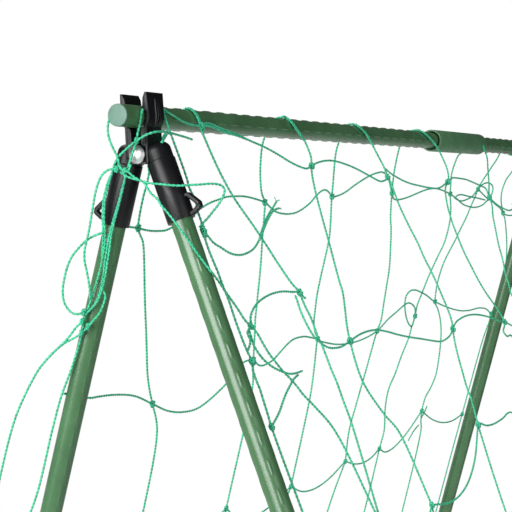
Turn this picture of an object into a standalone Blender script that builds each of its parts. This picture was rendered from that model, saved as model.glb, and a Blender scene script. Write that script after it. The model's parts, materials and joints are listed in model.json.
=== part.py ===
"""Climbing plant support: two A-frames of coated steel poles under a top rail, with a net over it.

Metres, +Z up. The rail runs along Y with its near end at -Y. Each A-frame spreads along X, its
front leg towards +X. The origin is on the ground, midway between the four feet. The back legs
carry the rail, and the front legs fold in towards them about the two hinge bolts.
"""
import math

import bmesh
import bpy
from mathutils import Matrix, Vector

# Gap between pieces that seat on each other
FIT_GAP = 0.0003

# Poles: plastic-coated steel tube
POLE_D = 0.016
POLE_WALL = 0.0012
POLE_SIDES = 20

# Rail
RAIL_LENGTH = 1.0
RAIL_OVERHANG = 0.033
RAIL_JOINT = 0.656

# Legs
HALF_ANGLE = math.radians(18.5)
LEG_OFFSET = 0.0112
LEG_UPPER = 0.750
LEG_LOWER = 0.750

# Sleeves that join two poles
SLEEVE_D = 0.0226
SLEEVE_LENGTH = 0.140
SLEEVE_LEAD_D = 0.0194
SLEEVE_LEAD_DEPTH = 0.012
SLEEVE_STOP = 0.0020
SLEEVE_STOP_D = 0.0110
SLEEVE_RIM = 0.0010
SLEEVE_SIDES = 24

# End caps on the rail
CAP_FLANGE = 0.0014
CAP_STEM = 0.012
CAP_EDGE = 0.0004

# Foot tips
TIP_LENGTH = 0.036
TIP_COLLAR = 0.004
TIP_END_D = 0.0052
TIP_STEM = 0.025

# Clamp halves: an ear round the bolt, an arm with a jaw, and a leg socket
PIVOT_DROP = 0.027
EAR_R = 0.0067
EAR_SET_BACK = 0.0004
ARM_WIDTH = 0.0205
ARM_WALL = 0.0022
ARM_FOOT = 0.0070
ARM_EDGE = 0.0005
JAW_WIDTH = 0.0226
JAW_WALL = 0.0036
JAW_LEAN = math.radians(2.5)
JAW_LIP = 0.0018
JAW_RISE = 0.0085
JAW_TIP_WALL = 0.0019
JAW_LEAD_IN = 0.0037
RIB_WIDTH = 0.0032
RIB_PROUD = 0.0009
RIB_BELOW_RAIL = 0.0080
RIB_BELOW_TIP = 0.0040
SOCKET_WALL = 0.0020
SOCKET_MOUTH = 0.0545
SOCKET_SHOULDER = 0.0090
SOCKET_BORE_TOP = 0.0130
SOCKET_CROWN = 0.0040
NECK_STEP = 0.0006
CROWN_FILLET = 0.0063
SOCKET_SIDES = 28

# Tie loop beside a socket's mouth
LOOP_THICK = 0.0034
LOOP_WIDTH = 0.0044
LOOP_EDGE = 0.0007
LOOP_REACH = 0.0097
LOOP_SHOULDER = 0.0032
LOOP_LENGTH = 0.0170
LOOP_SLOPE_DROP = 0.0095
LOOP_BEND = 0.0028

# Hinge bolt and nut
BOLT_D = 0.006
BOLT_HEAD_D = 0.0132
BOLT_HEAD_HEIGHT = 0.0038
BOLT_HEAD_RIM = 0.0006
BOLT_PAST_NUT = 0.0020
BOLT_SIDES = 28
NUT_ACROSS = 0.010
NUT_THICK = 0.005

# Net
NET_MESH = 0.150
NET_FIRST_CORD = 0.100
NET_ROWS = 9
NET_FRONT_TOP = 0.034
NET_BACK_TOP = 0.059
NET_CORD = 0.0016
NET_KNOT = 0.0030
NET_SAG = 0.012
NET_SWAY = 0.006
NET_DRIFT = 0.008
NET_EDGE_FROM_LEG = 0.0125
NET_PAST_SLEEVE = 0.012
NET_WRAP_STEPS = 6

# How finely curves are cut up, and the length added to a tool that cuts right through
ARC_STEP = math.radians(15)
DOME_STEP = math.radians(12)
SHOULDER_STEP = math.radians(30)
FOOT_STEP = math.radians(45)
CUT_OVERRUN = 0.002

# Places worked out from the sizes above
POLE_R = POLE_D / 2
BORE_R = POLE_R + FIT_GAP
POLE_BORE_R = POLE_R - POLE_WALL
STEM_R = POLE_BORE_R - FIT_GAP
STATION = RAIL_LENGTH / 2 - RAIL_OVERHANG
SLOPE_DOWN = Vector((math.sin(HALF_ANGLE), 0, -math.cos(HALF_ANGLE)))
SLOPE_OUT = Vector((math.cos(HALF_ANGLE), 0, math.sin(HALF_ANGLE)))
UPPER_TOP = SOCKET_BORE_TOP + FIT_GAP
LEG_JOINT = UPPER_TOP + LEG_UPPER + FIT_GAP + SLEEVE_STOP / 2
LOWER_TOP = LEG_JOINT + SLEEVE_STOP / 2 + FIT_GAP
TIP_TOP = LOWER_TOP + LEG_LOWER + FIT_GAP
FOOT = TIP_TOP + TIP_LENGTH
PIVOT_Z = FOOT * math.cos(HALF_ANGLE) - LEG_OFFSET * math.sin(HALF_ANGLE)
RAIL_Z = PIVOT_Z + PIVOT_DROP
SOCKET_R = BORE_R + SOCKET_WALL
EAR_FACE = ARM_WIDTH / 2 - EAR_SET_BACK
BOLT_HOLE_R = BOLT_D / 2 + FIT_GAP

# Colour, roughness and metallic value of each finish
CAP_MINT = ((0.36, 0.60, 0.46), 0.55, 0.0)
COAT_GREEN = ((0.045, 0.125, 0.060), 0.45, 0.0)
SLEEVE_GREEN = ((0.050, 0.120, 0.060), 0.40, 0.0)
TWINE_GREEN = ((0.02, 0.48, 0.22), 0.60, 0.0)
MOULDED_BLACK = ((0.012, 0.012, 0.014), 0.35, 0.0)
BRIGHT_STEEL = ((0.72, 0.73, 0.75), 0.18, 1.0)


def clear_scene():
    for old in list(bpy.data.objects):
        bpy.data.objects.remove(old, do_unlink=True)


def material(name, colour, roughness, metallic):
    made = bpy.data.materials.new(name)
    made.use_nodes = True
    shader = made.node_tree.nodes["Principled BSDF"]
    shader.inputs["Base Color"].default_value = (*colour, 1.0)
    shader.inputs["Roughness"].default_value = roughness
    shader.inputs["Metallic"].default_value = metallic
    return made


def mesh_from(bm, name, sharp=math.radians(35)):
    """Turn a bmesh into a mesh with its faces out and its round parts smooth."""
    bmesh.ops.recalc_face_normals(bm, faces=bm.faces)
    mesh = bpy.data.meshes.new(name)
    bm.to_mesh(mesh)
    bm.free()
    mesh.shade_smooth()
    mesh.set_sharp_from_angle(angle=sharp)
    return mesh


def place(name, mesh, look, holder, local=Matrix.Identity(4)):
    """Put a mesh in the scene as one named piece, held by an empty."""
    piece = bpy.data.objects.new(name, mesh.copy())
    piece.data.name = name
    piece.data.materials.clear()
    piece.data.materials.append(material(name + "_finish", *look))
    bpy.context.scene.collection.objects.link(piece)
    piece.parent = holder
    piece.matrix_local = local
    return piece


def holder(name, matrix):
    made = bpy.data.objects.new(name, None)
    bpy.context.scene.collection.objects.link(made)
    made.matrix_world = matrix
    return made


def arc(centre, radius, start, end, step=ARC_STEP):
    """Points of an arc in a plane, both ends included."""
    count = max(2, math.ceil(abs(end - start) / step))
    angles = [start + (end - start) * i / count for i in range(count + 1)]
    return [(centre[0] + radius * math.cos(a), centre[1] + radius * math.sin(a)) for a in angles]


def turned(outline, sides):
    """Spin an outline of (radius, height) points about Z; an outline off the axis is closed."""
    bm = bmesh.new()
    verts = [bm.verts.new((r, 0, z)) for r, z in outline]
    edges = [bm.edges.new(pair) for pair in zip(verts, verts[1:])]
    if outline[0][0] > 0:
        edges.append(bm.edges.new((verts[-1], verts[0])))
    bmesh.ops.spin(bm, geom=verts + edges, cent=(0, 0, 0), axis=(0, 0, 1),
                   angle=math.tau, steps=sides, use_merge=True)
    bmesh.ops.remove_doubles(bm, verts=bm.verts, dist=1e-6)
    return bm


def extruded(outline, low, high):
    """Stand an outline of (x, z) points between two heights along Y."""
    bm = bmesh.new()
    face = bm.faces.new([bm.verts.new((x, low, z)) for x, z in outline])
    grown = bmesh.ops.extrude_face_region(bm, geom=[face])
    moved = [v for v in grown["geom"] if isinstance(v, bmesh.types.BMVert)]
    bmesh.ops.translate(bm, verts=moved, vec=(0, high - low, 0))
    return bm


def rounded_path(corners, bend, steps=3):
    """A path of (x, z) corners with each inner corner eased by a quadratic curve."""
    points = [Vector(corners[0])]
    for before, corner, after in zip(corners, corners[1:], corners[2:]):
        corner = Vector(corner)
        come = (Vector(before) - corner).normalized() * bend + corner
        leave = (Vector(after) - corner).normalized() * bend + corner
        for i in range(steps + 1):
            t = i / steps
            points.append((1 - t) ** 2 * come + 2 * t * (1 - t) * corner + t ** 2 * leave)
    points.append(Vector(corners[-1]))
    return points


def bar(path, thick, width, edge):
    """A flat bar with eased edges along a path in the XZ plane, closed at both ends."""
    half = (thick / 2, width / 2)
    section = []
    for a, b in ((1, 1), (-1, 1), (-1, -1), (1, -1)):
        eased = [(a * (half[0] - edge), b * half[1]), (a * half[0], b * (half[1] - edge))]
        section += eased if a * b < 0 else list(reversed(eased))
    bm = bmesh.new()
    rings = []
    for i, point in enumerate(path):
        before = path[max(i - 1, 0)]
        after = path[min(i + 1, len(path) - 1)]
        along = (after - before).normalized()
        across = Vector((-along.y, along.x))
        flats = [(point + across * a, b) for a, b in section]
        rings.append([bm.verts.new((flat.x, b, flat.y)) for flat, b in flats])
    for low, high in zip(rings, rings[1:]):
        for k in range(len(section)):
            bm.faces.new((low[k - 1], low[k], high[k], high[k - 1]))
    bm.faces.new(rings[0])
    bm.faces.new(rings[-1])
    return bm


def cylinder(radius, sides, low, high, centre=(0, 0)):
    """A cylinder along Y between two heights, its centre given as (x, z)."""
    ring = [(centre[0] + radius * math.cos(math.tau * k / sides),
             centre[1] + radius * math.sin(math.tau * k / sides)) for k in range(sides)]
    return extruded(ring, low, high)


def joined(base, added, cut):
    """Unite meshes with a base and cut others from it; the result is one new mesh."""
    body = bpy.data.objects.new("joined_base", base)
    bpy.context.scene.collection.objects.link(body)
    tools = []
    for operation, meshes in (("UNION", added), ("DIFFERENCE", cut)):
        for mesh in meshes:
            tool = bpy.data.objects.new("joined_tool", mesh)
            tool.hide_render = True
            tool.display_type = "WIRE"
            bpy.context.scene.collection.objects.link(tool)
            modifier = body.modifiers.new(operation.lower(), "BOOLEAN")
            modifier.operation = operation
            modifier.solver = "EXACT"
            modifier.object = tool
            tools.append(tool)
    graph = bpy.context.evaluated_depsgraph_get()
    result = bpy.data.meshes.new_from_object(body.evaluated_get(graph))
    for temporary in [body] + tools:
        bpy.data.objects.remove(temporary, do_unlink=True)
    bm = bmesh.new()
    bm.from_mesh(result)
    bmesh.ops.remove_doubles(bm, verts=bm.verts, dist=1e-6)
    bmesh.ops.dissolve_degenerate(bm, edges=bm.edges, dist=1e-6)
    return bm


def leg_frame(distance):
    """Frame on a leg's axis, Z down the leg, at a distance below the pivot's foot on that axis."""
    turn = Matrix.Rotation(math.pi - HALF_ANGLE, 4, "Y")
    return Matrix.Translation(SLOPE_OUT * LEG_OFFSET) @ turn @ Matrix.Translation((0, 0, distance))


def pole(length):
    outline = [(POLE_R, 0), (POLE_R, length), (POLE_BORE_R, length), (POLE_BORE_R, 0)]
    return mesh_from(turned(outline, POLE_SIDES), "pole")


def sleeve():
    """Open lead-in at the low end, a stop in the middle and a rounded shoulder at the high end."""
    outer = SLEEVE_D / 2
    lead = SLEEVE_LEAD_D / 2
    shoulder = outer - BORE_R - SLEEVE_RIM
    half = SLEEVE_LENGTH / 2
    stop = SLEEVE_STOP / 2
    rounding = arc((outer - shoulder, half - shoulder), shoulder, 0, math.pi / 2, SHOULDER_STEP)
    outline = [(outer, -half)] + rounding
    outline += [(BORE_R, half), (BORE_R, stop), (SLEEVE_STOP_D / 2, stop), (SLEEVE_STOP_D / 2, -stop)]
    taper = lead - BORE_R
    outline += [(BORE_R, -stop), (BORE_R, SLEEVE_LEAD_DEPTH + taper - half)]
    outline += [(lead, SLEEVE_LEAD_DEPTH - half), (lead, -half)]
    return mesh_from(turned(outline, SLEEVE_SIDES), "sleeve")


def rail_cap():
    """A plug whose flange lies flush with the pole; its outer face is at height 0."""
    outline = [(0, 0), (POLE_R - CAP_EDGE, 0), (POLE_R, CAP_EDGE), (POLE_R, CAP_FLANGE)]
    outline += [(STEM_R, CAP_FLANGE), (STEM_R, CAP_FLANGE + CAP_STEM - STEM_R / 4)]
    outline += [(STEM_R * 3 / 4, CAP_FLANGE + CAP_STEM), (0, CAP_FLANGE + CAP_STEM)]
    return mesh_from(turned(outline, POLE_SIDES), "rail_cap")


def foot_tip():
    """A plug with a point; the point ends in a small flat that lies on the ground."""
    end_r = TIP_END_D / 2
    outline = [(0, -TIP_STEM), (STEM_R, -TIP_STEM), (STEM_R, 0), (POLE_R, 0), (POLE_R, TIP_COLLAR)]
    outline += [(end_r, TIP_LENGTH - CUT_OVERRUN), (end_r, TIP_LENGTH + CUT_OVERRUN)]
    outline += [(0, TIP_LENGTH + CUT_OVERRUN)]
    bm = turned(outline, POLE_SIDES)
    ground_up = leg_frame(0).to_3x3().inverted() @ Vector((0, 0, 1))
    geom = bm.verts[:] + bm.edges[:] + bm.faces[:]
    cut = bmesh.ops.bisect_plane(bm, geom=geom, dist=1e-7, plane_co=(0, 0, TIP_LENGTH),
                                 plane_no=ground_up, clear_inner=True)
    rim = [e for e in cut["geom_cut"] if isinstance(e, bmesh.types.BMEdge)]
    bmesh.ops.contextual_create(bm, geom=rim)
    return mesh_from(bm, "foot_tip")


def hinge_bolt():
    """Domed head with its underside at height 0 and the shank above it."""
    head_r = BOLT_HEAD_D / 2
    dome = BOLT_HEAD_HEIGHT - BOLT_HEAD_RIM
    sphere = (head_r ** 2 + dome ** 2) / (2 * dome)
    centre = (0, sphere - BOLT_HEAD_HEIGHT)
    spread = math.asin(head_r / sphere)
    outline = arc(centre, sphere, -math.pi / 2, spread - math.pi / 2, DOME_STEP)
    outline[0] = (0, -BOLT_HEAD_HEIGHT)
    length = 2 * EAR_FACE + 2 * FIT_GAP + NUT_THICK + BOLT_PAST_NUT
    chamfer = BOLT_D / 10
    outline += [(head_r, 0), (BOLT_D / 2, 0), (BOLT_D / 2, length - chamfer)]
    outline += [(BOLT_D / 2 - chamfer, length), (0, length)]
    return mesh_from(turned(outline, BOLT_SIDES), "hinge_bolt")


def hinge_nut():
    """Hexagon nut between height 0 and its thickness, its corners eased."""
    corner_r = NUT_ACROSS / 2 / math.cos(math.pi / 6)
    chamfer = corner_r - NUT_ACROSS / 2
    blank = [(0, 0), (NUT_ACROSS / 2, 0), (corner_r, chamfer / 2), (corner_r, NUT_THICK - chamfer / 2)]
    blank += [(NUT_ACROSS / 2, NUT_THICK), (0, NUT_THICK)]
    hexagon = mesh_from(turned(blank, 6), "nut_blank")
    hole = [(0, -CUT_OVERRUN), (BOLT_HOLE_R, -CUT_OVERRUN), (BOLT_HOLE_R, NUT_THICK + CUT_OVERRUN)]
    hole += [(0, NUT_THICK + CUT_OVERRUN)]
    drill = mesh_from(turned(hole, POLE_SIDES), "nut_hole")
    return mesh_from(joined(hexagon, [], [drill]), "hinge_nut")


def jaw_tip():
    return PIVOT_DROP + POLE_R + JAW_RISE


def arm_outer_line(from_height, to_height, proud=0.0):
    """Outer edge of a clamp arm, upwards: straight by the pivot, round the rail, then leaning in."""
    wall = EAR_R + FIT_GAP + ARM_WALL + proud
    jaw = BORE_R + JAW_WALL + proud
    around = arc((0, PIVOT_DROP), jaw, -math.acos(wall / jaw), JAW_LEAN)
    last_x, last_z = around[-1]
    top_x = last_x - (to_height - last_z) * math.tan(JAW_LEAN)
    return [(wall, from_height)] + around + [(top_x, to_height)]


def clamp_arm():
    """Arm from beside the ear up past the rail, hollowed to hug the rail, with a lead-in at its tip."""
    inner = EAR_R + FIT_GAP
    reach = math.acos((BORE_R - JAW_LIP) / BORE_R)
    hollow = arc((0, PIVOT_DROP), BORE_R, -reach, reach)
    tip = jaw_tip()
    foot_r = ARM_WALL / 2
    foot_z = foot_r - ARM_FOOT
    outer = arm_outer_line(foot_z, tip)
    lead_in = (BORE_R - JAW_LIP / 2, tip - JAW_LEAD_IN)
    outline = arc((inner + foot_r, foot_z), foot_r, 0, -math.pi, FOOT_STEP)
    outline += [(inner, PIVOT_DROP - POLE_R)] + hollow + [lead_in, (outer[-1][0] - JAW_TIP_WALL, tip)]
    outline += list(reversed(outer))[:-1]
    bm = extruded(outline, -JAW_WIDTH / 2, JAW_WIDTH / 2)
    neck = PIVOT_DROP - POLE_R
    bmesh.ops.bisect_plane(bm, geom=bm.verts[:] + bm.edges[:] + bm.faces[:], dist=1e-7,
                           plane_co=(0, 0, neck), plane_no=(0, 0, 1))
    for vert in bm.verts:
        rise = max(0.0, vert.co.z - neck) / (tip - neck)
        vert.co.y *= (ARM_WIDTH + (JAW_WIDTH - ARM_WIDTH) * rise) / JAW_WIDTH
    bmesh.ops.recalc_face_normals(bm, faces=bm.faces)
    sides = [f for f in bm.faces if abs(f.normal.y) > 0.9]
    rims = {e for f in sides for e in f.edges if len([g for g in e.link_faces if g in sides]) == 1}
    bmesh.ops.bevel(bm, geom=list(rims), offset=ARM_EDGE, segments=1, affect="EDGES",
                    profile=0.5, clamp_overlap=True)
    return mesh_from(bm, "clamp_arm")


def clamp_rib():
    """Stiffening rib down the middle of the jaw's outer face."""
    low = PIVOT_DROP - RIB_BELOW_RAIL
    high = jaw_tip() - RIB_BELOW_TIP
    outer = arm_outer_line(low + RIB_PROUD, high - RIB_PROUD, RIB_PROUD)
    inner = arm_outer_line(low, high, -ARM_WALL / 2)
    outline = outer + list(reversed(inner))
    return mesh_from(extruded(outline, -RIB_WIDTH / 2, RIB_WIDTH / 2), "clamp_rib")


def clamp_ear():
    """Ear round the bolt, on the far half of the hinge, running out to the arm."""
    root = EAR_R + FIT_GAP + ARM_WALL / 2
    outline = arc((0, 0), EAR_R, math.pi / 2, math.pi * 3 / 2) + [(root, -EAR_R), (root, EAR_R)]
    return mesh_from(extruded(outline, FIT_GAP / 2, EAR_FACE), "clamp_ear")


def socket_body():
    """Leg socket with a blunt crown, a shoulder and a blind bore, in the leg's frame."""
    neck = SOCKET_R - NECK_STEP
    crown = arc((neck - CROWN_FILLET, CROWN_FILLET - SOCKET_CROWN), CROWN_FILLET, -math.pi / 2, 0)
    outline = [(0, -SOCKET_CROWN)] + crown
    outline += [(neck, SOCKET_SHOULDER), (SOCKET_R, SOCKET_SHOULDER + NECK_STEP), (SOCKET_R, SOCKET_MOUTH)]
    outline += [(BORE_R, SOCKET_MOUTH), (BORE_R, SOCKET_BORE_TOP), (0, SOCKET_BORE_TOP)]
    return turned(outline, SOCKET_SIDES)


def tie_loop():
    """D-shaped loop on the socket's outer side, its lower end level with the mouth."""
    half = LOOP_THICK / 2
    root = -(SOCKET_R - SOCKET_WALL / 2)
    low = SOCKET_MOUTH - half
    high = SOCKET_MOUTH - LOOP_LENGTH + half
    near = -(SOCKET_R + LOOP_SHOULDER - half)
    far = -(SOCKET_R + LOOP_REACH - half)
    corners = [(root, high), (near, high), (far, high + LOOP_SLOPE_DROP), (far, low - LOOP_BEND)]
    corners += [(near, low), (root, low)]
    return bar(rounded_path(corners, LOOP_BEND / 2, 2), LOOP_THICK, LOOP_WIDTH, LOOP_EDGE)


def clamp_half():
    """One moulding serves all four places: a half turn about Z makes a front half a back one."""
    leg = leg_frame(0)
    parts = []
    for name, bm in (("socket", socket_body()), ("loop", tie_loop())):
        bmesh.ops.transform(bm, matrix=leg, verts=bm.verts)
        parts.append(mesh_from(bm, name))
    socket, loop = parts
    room = cylinder(EAR_R + FIT_GAP, SOCKET_SIDES, -SOCKET_R - CUT_OVERRUN, FIT_GAP / 3)
    hole = cylinder(BOLT_HOLE_R, POLE_SIDES, -CUT_OVERRUN, EAR_FACE + CUT_OVERRUN)
    bm = joined(socket, [clamp_arm(), clamp_rib(), clamp_ear(), loop],
                [mesh_from(room, "ear_room"), mesh_from(hole, "bolt_hole")])
    return mesh_from(bm, "clamp_half")


def net_columns():
    """Distances of the net's cords along the rail from the near clamp, both edges first and last."""
    last = 2 * STATION - NET_EDGE_FROM_LEG
    columns = [NET_EDGE_FROM_LEG]
    place_on_rail = NET_FIRST_CORD - RAIL_OVERHANG
    while place_on_rail < last - NET_MESH / 4:
        columns.append(place_on_rail)
        place_on_rail += NET_MESH
    return columns + [last]


def rail_crossing(column):
    """Where a cord crosses the rail: one that would lie on the sleeve slips past its shoulder."""
    middle = RAIL_JOINT - RAIL_OVERHANG
    half = SLEEVE_LENGTH / 2
    if abs(column - middle) < half + NET_PAST_SLEEVE:
        return middle + half + NET_PAST_SLEEVE
    return column


class Net:
    """Knots and cords as one closed mesh; u runs along the rail, v down the slope."""

    def __init__(self, side):
        self.side = side
        self.bm = bmesh.new()
        self.out = Vector((side * SLOPE_OUT.x, 0, SLOPE_OUT.z))
        self.down = Vector((side * SLOPE_DOWN.x, 0, SLOPE_DOWN.z))
        self.along = Vector((0, 1, 0))
        rail_out = PIVOT_DROP * math.sin(HALF_ANGLE)
        self.offset = rail_out + POLE_R + FIT_GAP + NET_CORD / 2

    def at(self, u, v, w=0.0):
        return self.along * u + self.down * v + self.out * (self.offset + w)

    def ring(self, centre, first, second, half=NET_CORD / 2):
        """Four corners round a cord, in the order that the knots' faces use."""
        signs = ((1, 1), (-1, 1), (-1, -1), (1, -1))
        return [self.bm.verts.new(centre + first * (a * half) + second * (b * half)) for a, b in signs]

    def skin(self, rings):
        for low, high in zip(rings, rings[1:]):
            for k in range(4):
                self.bm.faces.new((low[k - 1], low[k], high[k], high[k - 1]))

    def knot(self, u, v):
        half = NET_KNOT / 2
        corner = {}
        for a in (-1, 1):
            for b in (-1, 1):
                for c in (-1, 1):
                    corner[a, b, c] = self.bm.verts.new(self.at(u + a * half, v + b * half, c * half))
        faces = {}
        for a in (-1, 1):
            faces["u", a] = [corner[a, 1, 1], corner[a, -1, 1], corner[a, -1, -1], corner[a, 1, -1]]
            faces["v", a] = [corner[1, a, 1], corner[-1, a, 1], corner[-1, a, -1], corner[1, a, -1]]
            self.bm.faces.new([corner[1, 1, a], corner[-1, 1, a], corner[-1, -1, a], corner[1, -1, a]])
        return {"u": u, "v": v, "faces": faces}

    def cross_cord(self, left, right):
        """Cord between neighbours in a row, sagging down the slope."""
        length = right["u"] - left["u"]
        rings = [left["faces"].pop(("u", 1))]
        for share in (1 / 3, 2 / 3):
            u = left["u"] + length * share
            v = left["v"] + (right["v"] - left["v"]) * share + NET_SAG * length / NET_MESH
            rings.append(self.ring(self.at(u, v), self.down, self.out))
        rings.append(right["faces"].pop(("u", -1)))
        self.skin(rings)

    def down_cord(self, upper, lower, sway):
        """Cord between neighbours in a column, swaying a little to one side."""
        rings = [upper["faces"].pop(("v", 1))]
        u = (upper["u"] + lower["u"]) / 2 + sway
        v = (upper["v"] + lower["v"]) / 2
        rings.append(self.ring(self.at(u, v), self.along, self.out))
        rings.append(lower["faces"].pop(("v", -1)))
        self.skin(rings)

    def rail_cord(self, knot, crossing, end_v):
        """Cord from a top knot over the rail, ending just above the other panel's top knot."""
        radius = POLE_R + FIT_GAP + NET_CORD / 2
        centre = Vector((0, 0, PIVOT_DROP))
        rings = [knot["faces"].pop(("v", -1))]
        for i in range(NET_WRAP_STEPS + 1):
            angle = HALF_ANGLE + (math.pi - 2 * HALF_ANGLE) * i / NET_WRAP_STEPS
            radial = Vector((self.side * math.cos(angle), 0, math.sin(angle)))
            rings.append(self.ring(centre + self.along * crossing + radial * radius, self.along, radial))
        other_out = Vector((-self.out.x, 0, self.out.z))
        other_down = Vector((-self.down.x, 0, self.down.z))
        end = self.along * knot["u"] + other_down * end_v + other_out * self.offset
        rings.append(self.ring(end, self.along, other_out))
        self.skin(rings)
        self.bm.faces.new(rings[-1])

    def finish(self, knots, name):
        for knot in knots:
            for face in knot["faces"].values():
                self.bm.faces.new(face)
        return mesh_from(self.bm, name)


def top_row(side):
    """Slope distance from the pivot to a panel's top row of knots."""
    below_rail = NET_FRONT_TOP if side > 0 else NET_BACK_TOP
    return below_rail - PIVOT_DROP * math.cos(HALF_ANGLE)


def knot_place(i, j, last):
    """Drift of a knot from the even grid; the edge cords stay by the legs."""
    u = NET_DRIFT * math.sin(2.1 * i + 1.3 * j) if 0 < i < last else 0.0
    v = NET_DRIFT * math.sin(1.7 * i + 2.3 * j) if j > 0 else 0.0
    return u, v


def net_panel(side, rows):
    """Flat part of the net on one side of the rail, and its knots by column and row."""
    net = Net(side)
    columns = net_columns()
    grid = {}
    for i, column in enumerate(columns):
        for j in rows:
            du, dv = knot_place(i, j, len(columns) - 1)
            grid[i, j] = net.knot(column + du, top_row(side) + NET_MESH * j + dv)
    for i, j in grid:
        if (i + 1, j) in grid:
            net.cross_cord(grid[i, j], grid[i + 1, j])
        if (i, j + 1) in grid:
            inner = 0 < i < len(columns) - 1
            sway = NET_SWAY * (-1) ** (i + j) if inner else 0.0
            net.down_cord(grid[i, j], grid[i, j + 1], sway)
    return net, grid


def net_front():
    net, grid = net_panel(1, range(NET_ROWS))
    return net.finish(grid.values(), "net_front")


def net_top():
    """The back's top row with the cords that run from it over the rail."""
    net, grid = net_panel(-1, range(1))
    for i, column in enumerate(net_columns()):
        end_v = top_row(1) - NET_KNOT / 2 - FIT_GAP
        net.rail_cord(grid[i, 0], rail_crossing(column), end_v)
    return net.finish(grid.values(), "net_top")


def net_back():
    """The back below its top row; its cords end just under that row's knots."""
    net, grid = net_panel(-1, range(1, NET_ROWS))
    columns = net_columns()
    v = top_row(-1) + NET_KNOT / 2 + FIT_GAP
    for i, column in enumerate(columns):
        first = grid[i, 1]
        u = column + knot_place(i, 0, len(columns) - 1)[0]
        end = net.ring(net.at(u, v), net.along, net.out)
        net.skin([end, first["faces"].pop(("v", -1))])
        net.bm.faces.new(end)
    return net.finish(grid.values(), "net_back")


def build_rail(frame):
    """The rail's frame has its origin on the rail's axis at the near end, Z along the rail."""
    near_start = CAP_FLANGE + FIT_GAP
    near_end = RAIL_JOINT - SLEEVE_STOP / 2 - FIT_GAP
    far_start = RAIL_JOINT + SLEEVE_STOP / 2 + FIT_GAP
    far_end = RAIL_LENGTH - CAP_FLANGE - FIT_GAP
    tubes = (("rail_tube_near", near_start, near_end), ("rail_tube_far", far_start, far_end))
    for name, start, end in tubes:
        place(name, pole(end - start), COAT_GREEN, frame, Matrix.Translation((0, 0, start)))
    place("rail_sleeve", sleeve(), SLEEVE_GREEN, frame, Matrix.Translation((0, 0, RAIL_JOINT)))
    cap = rail_cap()
    place("rail_cap_near", cap, CAP_MINT, frame)
    turned_round = Matrix.Translation((0, 0, RAIL_LENGTH)) @ Matrix.Rotation(math.pi, 4, "X")
    place("rail_cap_far", cap, CAP_MINT, frame, turned_round)


def build_leg(tag, meshes, frame):
    """Clamp half and leg of one side of one A-frame, all held at the hinge."""
    place("clamp_" + tag, meshes["clamp"], MOULDED_BLACK, frame)
    place("leg_upper_" + tag, meshes["upper"], COAT_GREEN, frame, leg_frame(UPPER_TOP))
    flipped = leg_frame(LEG_JOINT) @ Matrix.Rotation(math.pi, 4, "X")
    place("leg_sleeve_" + tag, meshes["sleeve"], SLEEVE_GREEN, frame, flipped)
    place("leg_lower_" + tag, meshes["lower"], COAT_GREEN, frame, leg_frame(LOWER_TOP))
    place("foot_tip_" + tag, meshes["tip"], MOULDED_BLACK, frame, leg_frame(TIP_TOP))


def build_hinge(tag, bolt, nut, frame, outwards):
    """Bolt with its head on the A-frame's outer side; outwards is -1 at the near end, 1 at the far."""
    turn = Matrix.Rotation(outwards * math.pi / 2, 4, "X")
    head = Matrix.Translation((0, outwards * (EAR_FACE + FIT_GAP), 0)) @ turn
    place("hinge_bolt_" + tag, bolt, BRIGHT_STEEL, frame, head)
    inner = Matrix.Translation((0, -outwards * (EAR_FACE + FIT_GAP), 0)) @ turn
    place("hinge_nut_" + tag, nut, BRIGHT_STEEL, frame, inner)


def build():
    clear_scene()
    meshes = {"clamp": clamp_half(), "upper": pole(LEG_UPPER), "sleeve": sleeve(),
              "lower": pole(LEG_LOWER), "tip": foot_tip()}
    bolt = hinge_bolt()
    nut = hinge_nut()
    half_turn = Matrix.Rotation(math.pi, 4, "Z")
    pivots = {}
    for tag, outwards in (("near", -1), ("far", 1)):
        pivot = Matrix.Translation((0, outwards * STATION, PIVOT_Z))
        front = holder("pivot_" + tag + "_front", pivot)
        back = holder("pivot_" + tag + "_back", pivot @ half_turn)
        build_leg(tag + "_front", meshes, front)
        build_leg(tag + "_back", meshes, back)
        bolt_frame = holder("pivot_" + tag + "_bolt", pivot)
        build_hinge(tag, bolt, nut, bolt_frame, outwards)
        pivots[tag, "front"] = front
        pivots[tag, "bolt"] = bolt_frame
    rail_frame = Matrix.Translation((0, -RAIL_LENGTH / 2, RAIL_Z)) @ Matrix.Rotation(-math.pi / 2, 4, "X")
    build_rail(holder("rail_axis", rail_frame))
    place("net_front", net_front(), TWINE_GREEN, pivots["near", "front"])
    place("net_top", net_top(), TWINE_GREEN, pivots["near", "bolt"])
    place("net_back", net_back(), TWINE_GREEN, pivots["near", "bolt"])


build()
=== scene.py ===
"""Looks for the climbing plant support: studio, materials, bumpy poles, moulded clamps and the twisted net."""
import json
import math

import bmesh
import bpy
import numpy as np
from mathutils import Matrix, Vector
from mathutils.bvhtree import BVHTree


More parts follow.
